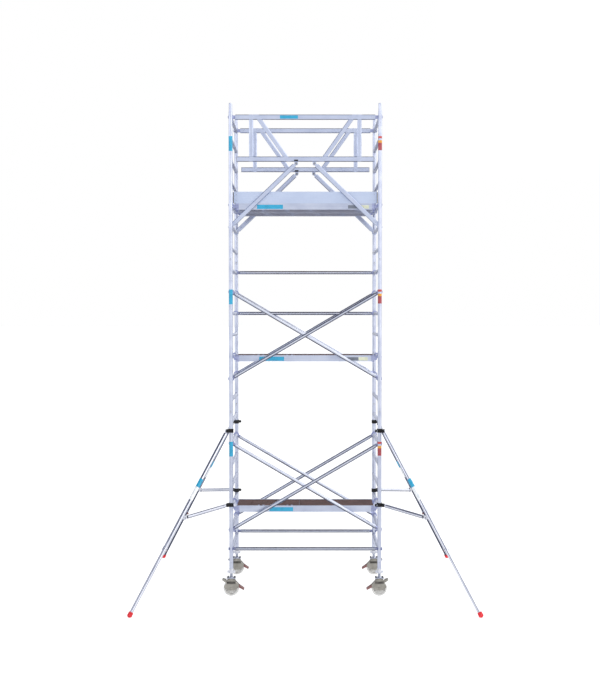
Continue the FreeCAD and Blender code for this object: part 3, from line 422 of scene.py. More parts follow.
def grainyMetal(name, look):
    # a cast, plated or painted metal: grain in the surface, and cloudy tone
    material, tree, shader, spot = startFinish(name, {"Metallic": look["metallic"]})
    grain = blotches(tree, spot, look["grain"], 4)
    cloud = blotches(tree, spot, look["blotch"], 3)
    dress(tree, shader, blended(tree, cloud, grain, 0.6), look, (0.32, 0.5, 0.68), 0.12, 0.1)
    raised(tree, shader, grain, look["depth"])
    return material


# sand-cast aluminium of the hooks: greyer than the tubes, with a fine pebbled skin
castAluminium = grainyMetal("sandCastAluminium", {
    "light": "#c4cae8", "middle": "#aeb5dc", "dark": "#8b93ba", "metallic": 1.0, "rough": 0.42,
    "grain": 3, "blotch": 30, "depth": 0.25})
# bright zinc plate on pins, bolts and rivets: cool grey with faint yellow-blue clouds
zincPlate = grainyMetal("brightZincPlate", {
    "light": "#d9dbe2", "middle": "#b9bdc9", "dark": "#8e8f94", "metallic": 1.0, "rough": 0.3,
    "grain": 2, "blotch": 18, "depth": 0.06})
# threaded spindle, zinc plated and greased: bluer and cloudier than the bolts
spindleZinc = grainyMetal("oiledZincPlate", {
    "light": "#d3d8e6", "middle": "#b9bfd0", "dark": "#8d93a6", "metallic": 1.0, "rough": 0.34,
    "grain": 4, "blotch": 26, "depth": 0.08})
# adjusting nut in cast iron under pale enamel: off-white, a little lumpy
nutEnamel = grainyMetal("paleStoveEnamel", {
    "light": "#e2e4ea", "middle": "#d2d5df", "dark": "#b9bdca", "metallic": 0.2, "rough": 0.42,
    "grain": 4, "blotch": 34, "depth": 0.2})
# pressed steel of the caster forks under grey stove enamel: warm grey, softly glossy
forkEnamel = grainyMetal("warmGreyStoveEnamel", {
    "light": "#aaa7a0", "middle": "#9a978f", "dark": "#85827b", "metallic": 0.25, "rough": 0.42,
    "grain": 5, "blotch": 60, "depth": 0.12})
# brake arms dark where they cross the wheel: painted shade standing in for the shadow band across each
# caster
paintedShadeSteel = grainyMetal("brakeArmsPaintedShade", {
    "light": "#6d6a66", "middle": "#55534f", "dark": "#3f3d3b", "metallic": 0.6, "rough": 0.48,
    "grain": 3, "blotch": 40, "depth": 0.1})
# black electro-coat of the forged couplers and the deck screws, worn to grey on high spots
blackCoat = grainyMetal("blackElectroCoat", {
    "light": "#2d2e33", "middle": "#141518", "dark": "#0b0b0d", "metallic": 0.35, "rough": 0.42,
    "grain": 4, "blotch": 22, "depth": 0.3})
# weld bead in aluminium: brighter and rougher than the tube beside it
weldBead = grainyMetal("aluminiumWeldBead", {
    "light": "#dfe2ec", "middle": "#c3c7d6", "dark": "#9ca1b3", "metallic": 1.0, "rough": 0.45,
    "grain": 2.5, "blotch": 12, "depth": 0.3})


def mouldedPlastic(name, look):
    # a moulded skin: fine leathery grain, even colour with slight clouds, and a soft gloss
    material, tree, shader, spot = startFinish(name, {
        "IOR": look["ior"], "Coat Weight": look.get("coat", 0.0), "Coat Roughness": 0.25})
    grain = blotches(tree, spot, look["grain"], 3)
    cloud = blotches(tree, spot, look["blotch"], 3)
    tone = ramp(tree, cloud, [(0.3, look["dark"]), (0.5, look["middle"]), (0.7, look["light"])])
    tree.links.new(tone, shader.inputs["Base Color"])
    tree.links.new(between(tree, grain, look["rough"] - 0.08, look["rough"] + 0.08),
                   shader.inputs["Roughness"])
    raised(tree, shader, grain, look["depth"])
    return material


# cast nylon wheel: off-white, slightly waxy, with soft grey clouds
wheelNylon = mouldedPlastic("castNylon", {
    "light": "#dfdfdc", "middle": "#d1d0cd", "dark": "#bfbebb", "rough": 0.42, "ior": 1.53,
    "grain": 3, "blotch": 40, "depth": 0.1})
# moulded rubber of the stabiliser feet: saturated red with a dusty sheen
footRubber = mouldedPlastic("mouldedRedRubber", {
    "light": "#f0414a", "middle": "#e02a34", "dark": "#bf1f2a", "rough": 0.55, "ior": 1.52,
    "grain": 2, "blotch": 20, "depth": 0.15})
# polyamide of the latch buttons, knobs and plugs: mid grey, lightly grained
greyPolyamide = mouldedPlastic("greyPolyamide", {
    "light": "#9ea0a8", "middle": "#85878f", "dark": "#6b6d75", "rough": 0.45, "ior": 1.53,
    "grain": 1.5, "blotch": 14, "depth": 0.08})
# black polyamide of the guardrail pads, the toe boards' brackets and the finger-hole rings; on the toe
# boards' brackets the black is also painted shade for the gap at each post
blackPolyamide = mouldedPlastic("blackPolyamide", {
    "light": "#34343a", "middle": "#222227", "dark": "#16161a", "rough": 0.4, "ior": 1.53,
    "grain": 1.5, "blotch": 14, "depth": 0.08})
# red-brown dipped vinyl on the locking pedals
pedalVinyl = mouldedPlastic("redBrownDippedVinyl", {
    "light": "#9a6d69", "middle": "#865a57", "dark": "#6f4745", "rough": 0.5, "ior": 1.53,
    "grain": 3, "blotch": 20, "depth": 0.2})


def vinylFilm(name, middle, dark):
    # self-adhesive film: flat bright colour under a clear coat, with slight orange peel
    return mouldedPlastic(name, {"light": middle, "middle": middle, "dark": dark, "rough": 0.4,
                                 "ior": 1.46, "grain": 6, "blotch": 60, "depth": 0.04, "coat": 0.5})


filmCyan = vinylFilm("cyanVinylFilm", "#1b9fc8", "#1790b6")
filmWhite = vinylFilm("whiteVinylFilm", "#f0f3f5", "#dfe5ea")
filmRed = vinylFilm("redVinylFilm", "#c2453f", "#ac3a36")
filmAmber = vinylFilm("amberVinylFilm", "#dd9a1f", "#c98714")
filmMaroon = vinylFilm("maroonVinylFilm", "#a6404a", "#91343e")
filmCream = vinylFilm("creamVinylFilm", "#dcdfc6", "#cfd2b4")
filmSlate = vinylFilm("slateVinylFilm", "#6f7684", "#5f6673")


def deckPly():
    # film-faced birch plywood: a dark brown phenolic film pressed with a wire-mesh pattern on
    # top, edges sealed in red-brown paint that the plies still show through
    look = {"film": "#64403a", "filmDark": "#553732", "edge": "#5d3a31", "plyLight": "#6f4a3c",
            "mesh": 9.0, "meshDepth": 0.5, "ply": 1.5}
    material, tree, shader, spot = startFinish("filmFacedPlywood", {"IOR": 1.5, "Specular IOR Level": 0.25})
    mesh = addNode(tree, "TexVoronoi", {"feature": "DISTANCE_TO_EDGE", "Scale": 1 / (look["mesh"] * mm),
                                        "Randomness": 0.25}, {"Vector": spot}).outputs["Distance"]
    axes = addNode(tree, "SeparateXYZ", None, {0: spot})
    normal = addNode(tree, "SeparateXYZ", None, {0: addNode(tree, "NewGeometry").outputs["Normal"]})
    onFace = joined(tree, "GREATER_THAN", joined(tree, "ABSOLUTE", normal.outputs[2], 0), 0.5)
    plies = joined(tree, "SINE", joined(tree, "MULTIPLY", axes.outputs[2], math.pi / (look["ply"] * mm)), 0)
    cloud = blotches(tree, spot, 120)
    film = ramp(tree, cloud, [(0.35, look["filmDark"]), (0.65, look["film"])])
    edge = ramp(tree, plies, [(0.3, look["edge"]), (0.8, look["plyLight"])])
    tone = addNode(tree, "Mix", {"data_type": "RGBA"}, {0: onFace, 6: edge, 7: film}).outputs[2]
    tree.links.new(tone, shader.inputs["Base Color"])
    tree.links.new(between(tree, mesh, 0.62, 0.42), shader.inputs["Roughness"])
    grid = addNode(tree, "MapRange", {"From Max": 0.18}, {"Value": mesh}).outputs[0]
    raised(tree, shader, grid, look["meshDepth"], 0.8)
    return material


ladderAluminium = ladderFinish()
diagonalTube = crossedTube()
brightTube = legTube()
filmFacedPly = deckPly()
print("finishes made:", len(bpy.data.materials))

finishOfSlot = {
    "frame_aluminium": ladderAluminium, "cast_aluminium": castAluminium, "rail_aluminium": railOval,
    "deck_aluminium": beamBox, "deck_plywood": filmFacedPly, "toe_board_aluminium": toeSheet,
    "zinc_steel": zincPlate, "grey_plastic": greyPolyamide, "fork_steel": forkEnamel,
    "wheel_plastic": wheelNylon, "pedal_steel": paintedShadeSteel, "black_steel": blackCoat,
    "stabiliser_aluminium": brightTube, "red_rubber": footRubber, "brace_aluminium": levelTube,
}
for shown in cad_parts.values():
    for used in shown.material_slots:
        slotName = used.material.name.split(".")[0] if used.material else ""
        used.material = finishOfSlot.get(slotName, ladderAluminium)
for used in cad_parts["diagonal_braces"].material_slots:
    used.material = diagonalTube
print("frame nodes finished:", len(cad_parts))


# ---- ladder frames: welds, pin rings

weld = {"bead": 3.4, "ripple": 0.16, "ripples": 22, "steps": 44, "sides": 6}


def addWeld(bm, sx, sy, z):
    post = tower["postRadius"]
    radius = tower["rungRadius"] + 1
    rings = []
    for step in range(weld["steps"]):
        angle = 2 * math.pi * step / weld["steps"]
        across = radius * math.cos(angle)
        centre = Vector((sx * postX + across, sy * (postY - math.sqrt(post ** 2 - across ** 2)),
                         z + radius * math.sin(angle)))
        outward = Vector((math.cos(angle), 0, math.sin(angle)))
        size = weld["bead"] * (1 + weld["ripple"] * math.sin(weld["ripples"] * angle))
        rings.append([bm.verts.new(centre + outward * size * math.cos(turn)
                                   + Vector((0, size * math.sin(turn), 0)))
                      for turn in (2 * math.pi * side / weld["sides"] for side in range(weld["sides"]))])
    for first, second in zip(rings, rings[1:] + rings[:1]):
        for side in range(weld["sides"]):
            follow = (side + 1) % weld["sides"]
            bm.faces.new((first[side], first[follow], second[follow], second[side]))


def frameWelds(sx):
    def build(bm):
        for number in range(tower["rungCount"]):
            for sy in (-1, 1):
                addWeld(bm, sx, sy, rungZ(number))
    return build


for side, sx in (("left", -1), ("right", 1)):
    makePiece(f"{side}_frame_welds", frameWelds(sx), [weldBead], "root")

pinRing = {"major": 12, "minor": 1.4, "headFront": 33, "pinHeight": 80}


def pinRings(bm):
    for sx, sy in tower["corners"].values():
        for top in frameTops[:2]:
            spot = moved(sx * postX, sy * postY - pinRing["headFront"],
                         top + pinRing["pinHeight"] - pinRing["major"])
            hoop(bm, pinRing["major"], pinRing["minor"], spot @ turned(78, "X"))


makePiece("lock_pin_rings", pinRings, [zincPlate], "lock_pins")


# ---- rivets that hold each hook in its tube

braceEnds = {"guardY": 508, "lowZ": 610, "radius": 22.5, "rise": 4,
             "rivets": (76, 98), "rivetSunk": 0.6}


def braceList():
    # the heights of each brace's left and right ends, and how far it stands across the tower
    outer, inner = tower["outerBraceY"], tower["innerBraceY"]
    found = []
    for face in (-1, 1):
        found.append((braceEnds["lowZ"], braceEnds["lowZ"], face * postY))
        for low in (1, 8):
            bottom, top = rungZ(low), rungZ(low + braceEnds["rise"])
            found += [(bottom, top, face * outer), (top, bottom, face * inner)]
    return found + [(rungZ(rung), rungZ(rung), braceEnds["guardY"]) for rung in (11, 13)]


def braceRivets(bm):
    for leftZ, rightZ, y in braceList():
        start = Vector((-postX, y, leftZ))
        end = Vector((postX, y, rightZ))
        along = (end - start).normalized()
        for base, toward in ((start, along), (end, -along)):
            for reach in braceEnds["rivets"]:
                rivetPair(bm, base + toward * reach, braceEnds["radius"] - braceEnds["rivetSunk"])


makePiece("brace_rivets", braceRivets, [zincPlate], "root")


# ---- platforms: end castings, screws and hatch fittings

platform = {"singleY": -240, "topY": 295, "width": 580, "beamWidth": 30, "beamTop": 20, "beamDrop": 60,
            "beamEnd": 897.5, "boardTop": 17, "hatch": (-700, -80),
            "transoms": (-875, -705, -75, 240, 560, 875),
            "plainTransoms": (-875, -525, -175, 175, 525, 875), "castingLong": 40, "castingThick": 2}
beamY = (platform["width"] - platform["beamWidth"]) / 2
decks = {
    "lower": moved(0, platform["singleY"], rungZ(2)),
    "middle": moved(0, platform["singleY"], rungZ(9)),
    "top": moved(0, -platform["topY"], rungZ(16)) @ turned(180, "Z"),
    "plain": moved(0, platform["topY"], rungZ(16)),
}


def deckCastings(at):
    # a cast shoe folds round the outside of each beam end and is riveted through it
    def build(bm):
        thick, long = platform["castingThick"], platform["castingLong"]
        for side in (-1, 1):
            for end in (-1, 1):
                low = -platform["beamEnd"] if end < 0 else platform["beamEnd"] - long
                outer = side * (beamY + platform["beamWidth"] / 2)
                inner = side * (beamY - platform["beamWidth"] / 2)
                under = -platform["beamDrop"]
                skins = [((outer, under - thick), (outer + side * thick, platform["beamTop"])),
                         ((inner, under - thick), (outer, under))]
                for (y0, z0), (y1, z1) in skins:
                    bar(bm, (low, min(y0, y1), z0), (low + long, max(y0, y1), z1), at)
                for x in (low + 12, low + 28):
                    for z in (-42, 2):
                        rivet(bm, 5, 2.4, at @ moved(x, outer + side * (thick - 0.4), z)
                              @ turned(-90 * side, "X"), 1)
    return build


def deckScrews(at, hatched):
    # countersunk screws fix the boards to the transoms
    def build(bm):
        spots = platform["transoms"] if hatched else platform["plainTransoms"]
        for x in spots:
            shift = {-705: -10, -75: 10}.get(x, 0)
            for y in (-225, -75, 75, 225):
                rivet(bm, 5, 1.2, at @ moved(x + shift, y, platform["boardTop"]))
    return build


for level, at in decks.items():
    hatched = level != "plain"
    makePiece(f"{level}_deck_castings", deckCastings(at), [castAluminium, zincPlate], "root",
              bevel=0.8)
    makePiece(f"{level}_deck_screws", deckScrews(at, hatched), [blackCoat], "root")

hatchFit = {"holeX": -390, "holeY": 200, "holeRadius": 16.6, "ring": 24, "screwInset": 22}


def hatchFittings(at):
    # a black ring pressed into the finger hole, and the screws round the panel's edge
    def build(bm):
        top = platform["boardTop"]
        inner, outer = hatchFit["holeRadius"] - 1.6, hatchFit["ring"]
        lathe(bm, [(inner, -10), (inner, 1.5), (inner + 1.5, 2.6), (outer - 2, 2.6), (outer, 1),
                   (outer, -0.2), (hatchFit["holeRadius"], -0.2), (hatchFit["holeRadius"], -10)],
              at @ moved(hatchFit["holeX"], hatchFit["holeY"], top), 32, closed=True)
        low, high = (edge + side * hatchFit["screwInset"] for edge, side in zip(platform["hatch"], (1, -1)))
        for x in (low, (low + high) / 2, high):
            for y in (-130, 0, 130):
                rivet(bm, 5, 1.2, at @ moved(x, y, top), 1)
    return build


for level in ("lower", "middle", "top"):
    makePiece(f"{level}_hatch_fittings", hatchFittings(decks[level]), [blackPolyamide, blackCoat],
              f"{level}_hatch")


# ---- toe boards: black end brackets, which also stand as painted shade in the gap at each post, and corner clips

toeLow, toeHigh = boxOf("toe_boards")
toe = {"bracketShadeDepth": 10, "bracketShadeWide": 24, "clipHeight": 34, "clipThick": 2}


def toeFittings(bm):
    for sx in (-1, 1):
        for sy in (-1, 1):
            ySide = sorted((sy * toeHigh.y, sy * (toeHigh.y - toe["bracketShadeWide"])))
            xSide = sorted((sx * toeHigh.x, sx * (toeHigh.x + toe["bracketShadeDepth"])))
            # a black block fills the gap between each board's end and the post: painted shade for that gap
            bar(bm, (xSide[0], ySide[0], toeLow.z + 6), (xSide[1], ySide[1], toeHigh.z - 6))
            for z in (toeLow.z + 20, toeHigh.z - 20 - toe["clipHeight"]):
                face = sorted((sy * toeHigh.y, sy * (toeHigh.y + toe["clipThick"])))
                clip = sorted((sx * (toeHigh.x - 46), sx * (toeHigh.x - 2)))
                bar(bm, (clip[0], face[0], z), (clip[1], face[1], z + toe["clipHeight"]), finish=1)
                rivet(bm, 4.5, 2, facing(sy, sx * (toeHigh.x - 32), face[0 if sy < 0 else 1],
                                         z + toe["clipHeight"] / 2), 2)


makePiece("toe_board_fittings", toeFittings, [blackPolyamide, toeSheet, zincPlate], "root",
          bevel=0.6)


# ---- guardrails: saddles, pads, knobs and plugs

rail = {"y": 607, "height": 66, "depth": 30, "lowZ": 5634, "lowHalf": 880, "strut": 54, "uprightX": 695,
        "veeTop": 610, "veeLow": 230, "pivotX": 117, "pivotZ": 5578, "saddle": 2.4,
        "padZ": 5617, "hookRivets": (78, 104), "eyeRivets": (54, 74), "endRivets": (80, 104)}
railSkin = rail["depth"] / 2 - 0.4
topRailZ = rungZ(20)
veeLean = math.atan2(rail["veeTop"] - rail["veeLow"], topRailZ - rail["lowZ"])


def railSaddles(bm):
    half = rail["height"] / 2 - 1
    spots = [(side * rail["uprightX"], z, 0) for side in (-1, 1) for z in (topRailZ, rail["lowZ"])]
    spots += [(side * x, z, side * veeLean) for side in (-1, 1)
              for x, z in ((rail["veeTop"], topRailZ), (rail["veeLow"], rail["lowZ"]))]
    for x, z, lean in spots:
        wide = rail["strut"] / 2 / math.cos(lean)
        shift = half * math.tan(lean)
        outline = softened([(x - wide - shift, z - half), (x + wide - shift, z - half),
                            (x + wide + shift, z + half), (x - wide + shift, z + half)], 9)
        for face in (-1, 1):
            for skin in (-1, 1):
                y = face * rail["y"] + skin * (rail["depth"] + rail["saddle"]) / 2
                plate(bm, outline, rail["saddle"], moved(y=y))


makePiece("guardrail_saddles", railSaddles, [railOval], "root", bevel=0.8)


def railFittings(bm):
    for face in (-1, 1):
        y = face * rail["y"]
        for side in (-1, 1):
            # rounded plugs in the open ends of the low rail
            end = side * rail["lowHalf"]
            plate(bm, oblong(14, 32, 12), 6, moved(end + side * 2, y, rail["lowZ"]) @ turned(90, "Z"))
            # a ribbed knob on each end of the pivot pin
            for skin in (-1, 1):
                knob = [(0, 0), (13, 0), (15, 2), (15, 7), (12.5, 10), (5, 10), (4.5, 8.5), (0, 8.5)]
                lathe(bm, knob, facing(skin, side * rail["pivotX"], y + skin * 15.5, rail["pivotZ"]), 18)
        for skin in (-1, 1):
            outside = y + skin * (rail["depth"] / 2 + 2.5)
            plate(bm, oblong(26, 10, 5), 6, moved(-rail["pivotX"] - 2, outside, rail["padZ"]), 1)


makePiece("guardrail_fittings", railFittings, [greyPolyamide, blackPolyamide], "root",
          bevel=0.7)


def legRivets(sx, sy):
    def build(bm):
        pivot = Vector((sx * rail["pivotX"], sy * rail["y"], rail["pivotZ"]))
        hook = Vector((sx * postX, sy * rail["y"], rungZ(15)))
        back = (pivot - hook).normalized()
        spots = [hook + back * reach for reach in rail["hookRivets"]]
        spots += [pivot - back * reach for reach in rail["eyeRivets"]]
        for spot in spots:
            rivetPair(bm, spot, railSkin)
    return build


for corner, (sx, sy) in tower["corners"].items():
    makePiece(f"{corner}_guardrail_leg_rivets", legRivets(sx, sy), [zincPlate],
              f"{corner}_guardrail_leg")


def topRailRivets(bm):
    for sx, sy in tower["corners"].values():
        for reach in rail["endRivets"]:
            rivetPair(bm, Vector((sx * (postX - reach), sy * rail["y"], topRailZ)), railSkin)


makePiece("top_rail_rivets", topRailRivets, [zincPlate], "root")
print("frame, platform and guardrail fittings made")


# ---- casters: each is built on its post's axis, locking pedal towards +X

caster = {"wheelRadius": 100, "forkInside": 30, "forkThick": 4, "armInside": 36, "armThick": 5,
          "plateUnder": 231, "plateThick": 8, "threadRoot": 15.8, "threadCrest": 18, "threadPitch": 8,
          "threadLow": 250, "threadHigh": 742, "nutLow": 292, "nutHigh": 354.6, "ribs": 10,
          "pivotZ": 176, "paintedShadeEnd": 57, "gripFrom": 99, "grips": 5}


def wheel(bm):
    laid = moved(z=caster["wheelRadius"]) @ turned(90, "X")
    side = [(11, -28), (25, -28), (27.5, -26), (29.5, -10), (33, -7.5), (68, -7.5), (72, -10),
            (75, -21), (78, -24.5), (93, -25), (97, -22.8), (98.8, -17), (99.4, -11), (98, -9.6),
            (98, -8), (99.8, -6.6)]
    profile = side + [(100, 0)] + [(radius, -height) for radius, height in reversed(side)]
    lathe(bm, profile, laid, 64, closed=True)
    for k in range(caster["ribs"]):
        spoke = laid @ turned(360 / caster["ribs"] * k, "Z")
        for face in (-1, 1):
            z = sorted((face * 6.5, face * 21))
            bar(bm, (27, -2.6, z[0]), (74, 2.6, z[1]), spoke)


def fork(bm):
    outline = [(-54, 210), (54, 210), (60, 166), (96, 128), (88, 104), (34, 74), (-34, 74),
               (-88, 104), (-96, 128), (-60, 166)]
    middle = caster["forkInside"] + caster["forkThick"] / 2
    for side in (-1, 1):
        plate(bm, softened(outline, 16), caster["forkThick"], moved(y=side * middle))
        outside = caster["forkInside"] + caster["forkThick"]
        boss = facing(side, 0, side * (outside - 0.4), caster["wheelRadius"])
        lathe(bm, [(0, 0), (27, 0), (25, 1.8), (0, 1.8)], boss, 32)
        hexBolt(bm, 24, 8, boss @ moved(z=1.6))
        # a swaged rib stiffens each cheek between the boss and the bridge
        rib = softened([(-30, 132), (30, 132), (22, 158), (-22, 158)], 9)
        plate(bm, rib, 2.2, moved(y=side * (outside + 0.3)))
    bar(bm, (-54, -30, 204), (54, 30, 210))
    race = [(0, 210), (42, 210), (44, 212), (44, 217.5), (41.5, 219.2), (41.5, 221), (44, 222.8),
            (44, 228), (42, 230.4), (0, 230.4)]
    lathe(bm, race, nothing, 48)
    rod(bm, 10, -28.5, 28.5, moved(z=caster["wheelRadius"]) @ turned(90, "X"), 24, 1)


def thread(bm):
    steps = 20
    pitch, root, crest = caster["threadPitch"], caster["threadRoot"], caster["threadCrest"]
    turns = int((caster["threadHigh"] - caster["threadLow"]) / pitch)
    section = [(root, 0.0), (root, 0.28), (crest, 0.44), (crest, 0.84)]
    rows = []
    for step in range(turns * steps + 1):
        angle = 2 * math.pi * step / steps
        base = caster["threadLow"] + pitch * step / steps
        across, along = math.cos(angle), math.sin(angle)
        rows.append([bm.verts.new((radius * across, radius * along, base + pitch * share))
                     for radius, share in section])
    for step in range(turns * steps):
        here, follow = rows[step], rows[step + 1]
        for k in range(3):
            bm.faces.new((here[k], follow[k], follow[k + 1], here[k + 1]))
        if step + 1 + steps <= turns * steps:
            bm.faces.new((here[3], follow[3], rows[step + 1 + steps][0], rows[step + steps][0]))


def spindle(bm):
    low, thick = caster["plateUnder"], caster["plateThick"]
    plate(bm, oblong(55, 50, 10), thick, moved(z=low + thick / 2) @ turned(90, "X"))
    for x in (-43, 43):
        for y in (-38, 38):
            hexBolt(bm, 17, 8, moved(x, y, low + thick), 2)
            lathe(bm, [(0, 247), (4, 247), (4, 250), (0, 251)], moved(x, y), 12, 1)
            hexBolt(bm, 17, 7, moved(x, y, low) @ turned(180, "X"), 1)
    lathe(bm, [(0, 239), (26, 239), (25, 243), (20, 248), (20, 251), (0, 251)], nothing, 32)
    thread(bm)
    lathe(bm, [(0, 744), (15.6, 744), (18, 747), (18, 757), (16, 759), (0, 759)], nothing, 32)


def wingNut(bm):
    low, high = caster["nutLow"], caster["nutHigh"]
    profile = [(18.7, low), (26, low), (28.5, low + 2), (28.5, low + 10), (25, low + 14), (25, high - 16),
               (30, high - 12), (31, high - 9), (31, high), (18.7, high)]
    lathe(bm, profile, nothing, 40, closed=True)
    for side in (-1, 1):
        wing = [(side * 22, low + 8), (side * 40, low + 4), (side * 52, low + 10), (side * 51, low + 34),
                (side * 38, low + 38), (side * 22, low + 30)]
        plate(bm, softened(wing, 8), 11)


def pedal(bm):
    # each arm is dark over the wheel as painted shade for the shadow band across the caster, enamelled
    # beyond it, and dipped in vinyl at one end
    arm = [(-54, 162), (54, 162), (100, 112), (163, 80), (168, 98), (104, 142), (60, 190), (-60, 190),
           (-112, 226), (-119, 210)]
    middle = caster["armInside"] + caster["armThick"] / 2
    for side in (-1, 1):
        plate(bm, softened(arm, 7), caster["armThick"], moved(y=side * middle))
    sleeve, grip = caster["paintedShadeEnd"], caster["gripFrom"]
    for edge in (-sleeve, sleeve, grip):
        everything = bm.verts[:] + bm.edges[:] + bm.faces[:]
        bmesh.ops.bisect_plane(bm, geom=everything, plane_co=(edge, 0, 0), plane_no=(1, 0, 0))
    for face in bm.faces:
        across = face.calc_center_median().x
        # faces over the wheel get the dark finish, which is painted shade
        face.material_index = 1 if across > grip else 2 if abs(across) > sleeve else 0
    for side in (-1, 1):
        hexBolt(bm, 13, 6, facing(side, 0, side * 40.8, caster["pivotZ"]))
    lock = softened([(108, 118), (162, 84), (169, 99), (112, 134)], 6)
    plate(bm, lock, 2 * caster["armInside"] + 0.4, nothing, 1)
    free = softened([(-68, 198), (-62, 209), (-112, 226), (-118, 213)], 5)
    plate(bm, free, 2 * caster["armInside"] + 0.4, nothing, 2)
    for k in range(caster["grips"]):
        share = 0.12 + 0.19 * k
        spot = Vector((114, 0, 132.5)).lerp(Vector((166, 0, 99.5)), share)
        bar(bm, (-2.4, -33, -2), (2.4, 33, 1.6), moved(spot.x, 0, spot.z) @ turned(33, "Y"), 1)


casterParts = {
    "caster_wheel": (wheel, [wheelNylon], "wheel_plastic", 0.8),
    "caster_fork": (fork, [forkEnamel, zincPlate], "fork_steel", 1.0),
    "caster_spindle": (spindle, [spindleZinc, zincPlate, blackCoat], "zinc_steel", 0.0),
    "adjusting_nut": (wingNut, [nutEnamel], "zinc_steel", 1.4),
    "brake_pedal": (pedal, [paintedShadeSteel, pedalVinyl, forkEnamel], "pedal_steel", 0.8),
}
for corner, (sx, sy) in tower["corners"].items():
    at = moved(sx * postX * mm, sy * postY * mm) @ turned(0 if sx < 0 else 180, "Z")
    for part, (build, finishes, slot, bevel) in casterParts.items():
        node = f"{corner}_{part}"
        makePiece(f"{node}_piece", build, finishes, node, at, [node], bevel)
print("casters made")


# ---- stabilisers: each is built on its post's axis, leg leaning out along +X

leg = {"pinX": 70, "upperZ": 2142, "lowerZ": 1182, "footReach": 1632, "footHeight": 28,
       "tubeRadius": 25.4, "innerRadius": 22.1, "collarAt": 1725, "bracketAt": 1255,
       "bandStart": 723, "bandEnd": 841, "filmEnd": 1027, "flushRadius": 22.25,
       "earBoltY": -60, "cheekOut": 12.4, "eyeRivets": (70, 100), "button": 1836, "firstHole": 1930,
       "holePitch": 95, "holes": 6}
legTop = Vector((leg["pinX"], 0, leg["upperZ"]))
footCentre = Vector((leg["footReach"], 0, leg["footHeight"]))
legAlong = (footCentre - legTop).normalized()
legUnder = legAlong.cross(Vector((0, 1, 0)))
legUnder = legUnder if legUnder.z < 0 else -legUnder


def onLeg(distance):
    # a place along the leg: local Z runs down the leg, local X faces the tower's side
    turn = Matrix((legUnder, legUnder.cross(legAlong) * -1, legAlong)).transposed().to_4x4()
    return Matrix.Translation(legTop + legAlong * distance) @ turn


def coupler(bm, z):
    at = moved(z=z)
    ring = [(25.8, -25), (31, -25), (33, -23), (33, -15), (31.2, -13), (31.2, 13), (33, 15), (33, 23),
            (31, 25), (25.8, 25)]
    lathe(bm, ring, at @ turned(-84, "Z"), 44, closed=True, sweep=348)
    rod(bm, 9, -25, 25, at @ moved(y=33), 20)
    for end in (-1, 1):
        rivet(bm, 6, 3, at @ moved(0, 33, end * 25) @ turned(0 if end > 0 else 180, "X"), 1)
    ear = softened([(24, -17), (78, -17), (78, 17), (24, 17)], 12)
    for side in (-1, 1):
        plate(bm, ear, 8, at @ moved(x=side * 7) @ turned(-90, "Z"))
        earBolt = aimed(Vector((side * 11, leg["earBoltY"], 0)), Vector((side, 0, 0)))
        hexBolt(bm, 18, 9, at @ earBolt, 1 if side > 0 else 0)
        cheek = softened([(26, -20), (62, -22), (88, -22), (88, 22), (62, 22), (26, 20)], 16)
        plate(bm, cheek, 6, at @ moved(y=side * 9.5))
        hexBolt(bm, 15, 8, at @ facing(side, leg["pinX"], side * leg["cheekOut"], 0))
    # the eye bolt's shank bridges the ears, and the leg's pin bridges the cheeks
    rod(bm, 6, -11, 11, at @ moved(y=leg["earBoltY"]) @ turned(90, "Y"), 16, 1)
    rod(bm, 5.8, -19, 19, at @ moved(x=leg["pinX"]) @ turned(90, "X"), 16)


def couplers(bm):
    coupler(bm, leg["upperZ"])
    coupler(bm, leg["lowerZ"])


def legFittings(bm):
    # clamping collar's bolt and red-brown release button, and the bolt of the strut's bracket
    collar = onLeg(leg["collarAt"])
    for side in (-1, 1):
        hexBolt(bm, 13, 6, collar @ facing(side, 0, side * 29.6, 0))
    lathe(bm, [(0, 0), (11, 0), (12, 3), (12, 12), (9, 16), (0, 17)],
          collar @ aimed(Vector((29, 0, 6)), Vector((1, 0, 0))), 20, 1)
    bracket = onLeg(leg["bracketAt"])
    for side in (-1, 1):
        hexBolt(bm, 15, 7, bracket @ facing(side, 48, side * leg["cheekOut"], 0))
        for reach in leg["eyeRivets"]:
            rivet(bm, 5, 2.4, onLeg(reach) @ facing(side, 0, side * 25, 0))


def legBands(bm):
    # plain film bands wrapped round the upper tube
    wrap(bm, leg["tubeRadius"], 0.35, leg["bandStart"], leg["bandEnd"], 0, 358, onLeg(0), 0)
    wrap(bm, leg["tubeRadius"], 0.35, leg["bandEnd"] + 1, leg["filmEnd"], 0, 358, onLeg(0), 1)


def innerLegFittings(bm):
    # a spring button and a row of pin holes, on the side that faces the tower
    lathe(bm, [(0, -1), (7, -1), (7, 4), (5.5, 7), (0, 8)],
          onLeg(leg["button"]) @ aimed(Vector((leg["innerRadius"] - 0.5, 0, 0)), Vector((1, 0, 0))), 16, 0)
    for k in range(leg["holes"]):
        along = leg["firstHole"] + leg["holePitch"] * k
        spot = onLeg(along) @ aimed(Vector((leg["innerRadius"] - 1.2, 0, 0)), Vector((1, 0, 0)))
        lathe(bm, [(0, 0.4), (5, 0.4), (6, 1.6), (6.6, 1.6), (7, 0), (0, 0)], spot, 20, 1)
    for vert in bm.verts:
        # all of it is kept flush, since this leg slides up inside the outer one
        spoke = vert.co - legTop
        spoke -= legAlong * spoke.dot(legAlong)
        vert.co -= spoke * max(0, 1 - leg["flushRadius"] / spoke.length)


def foot(bm):
    # a ribbed rubber cap over the end of the leg, worn flat where it stands
    ball = 31
    profile = [(0, -38), (27, -38), (28.8, -36), (28.8, -32)]
    for height in (-30, -22, -14):
        profile += [(27, height), (27, height + 1.5), (29.8, height + 3), (29.8, height + 6)]
    profile += [(ball * math.cos(math.radians(a)), ball * math.sin(math.radians(a)))
                for a in range(-18, 90, 9)] + [(0, ball)]
    seat = (footCentre - legTop).length
    lathe(bm, profile, onLeg(seat), 48)
    for vert in bm.verts:
        vert.co.z = max(vert.co.z, 0.3)


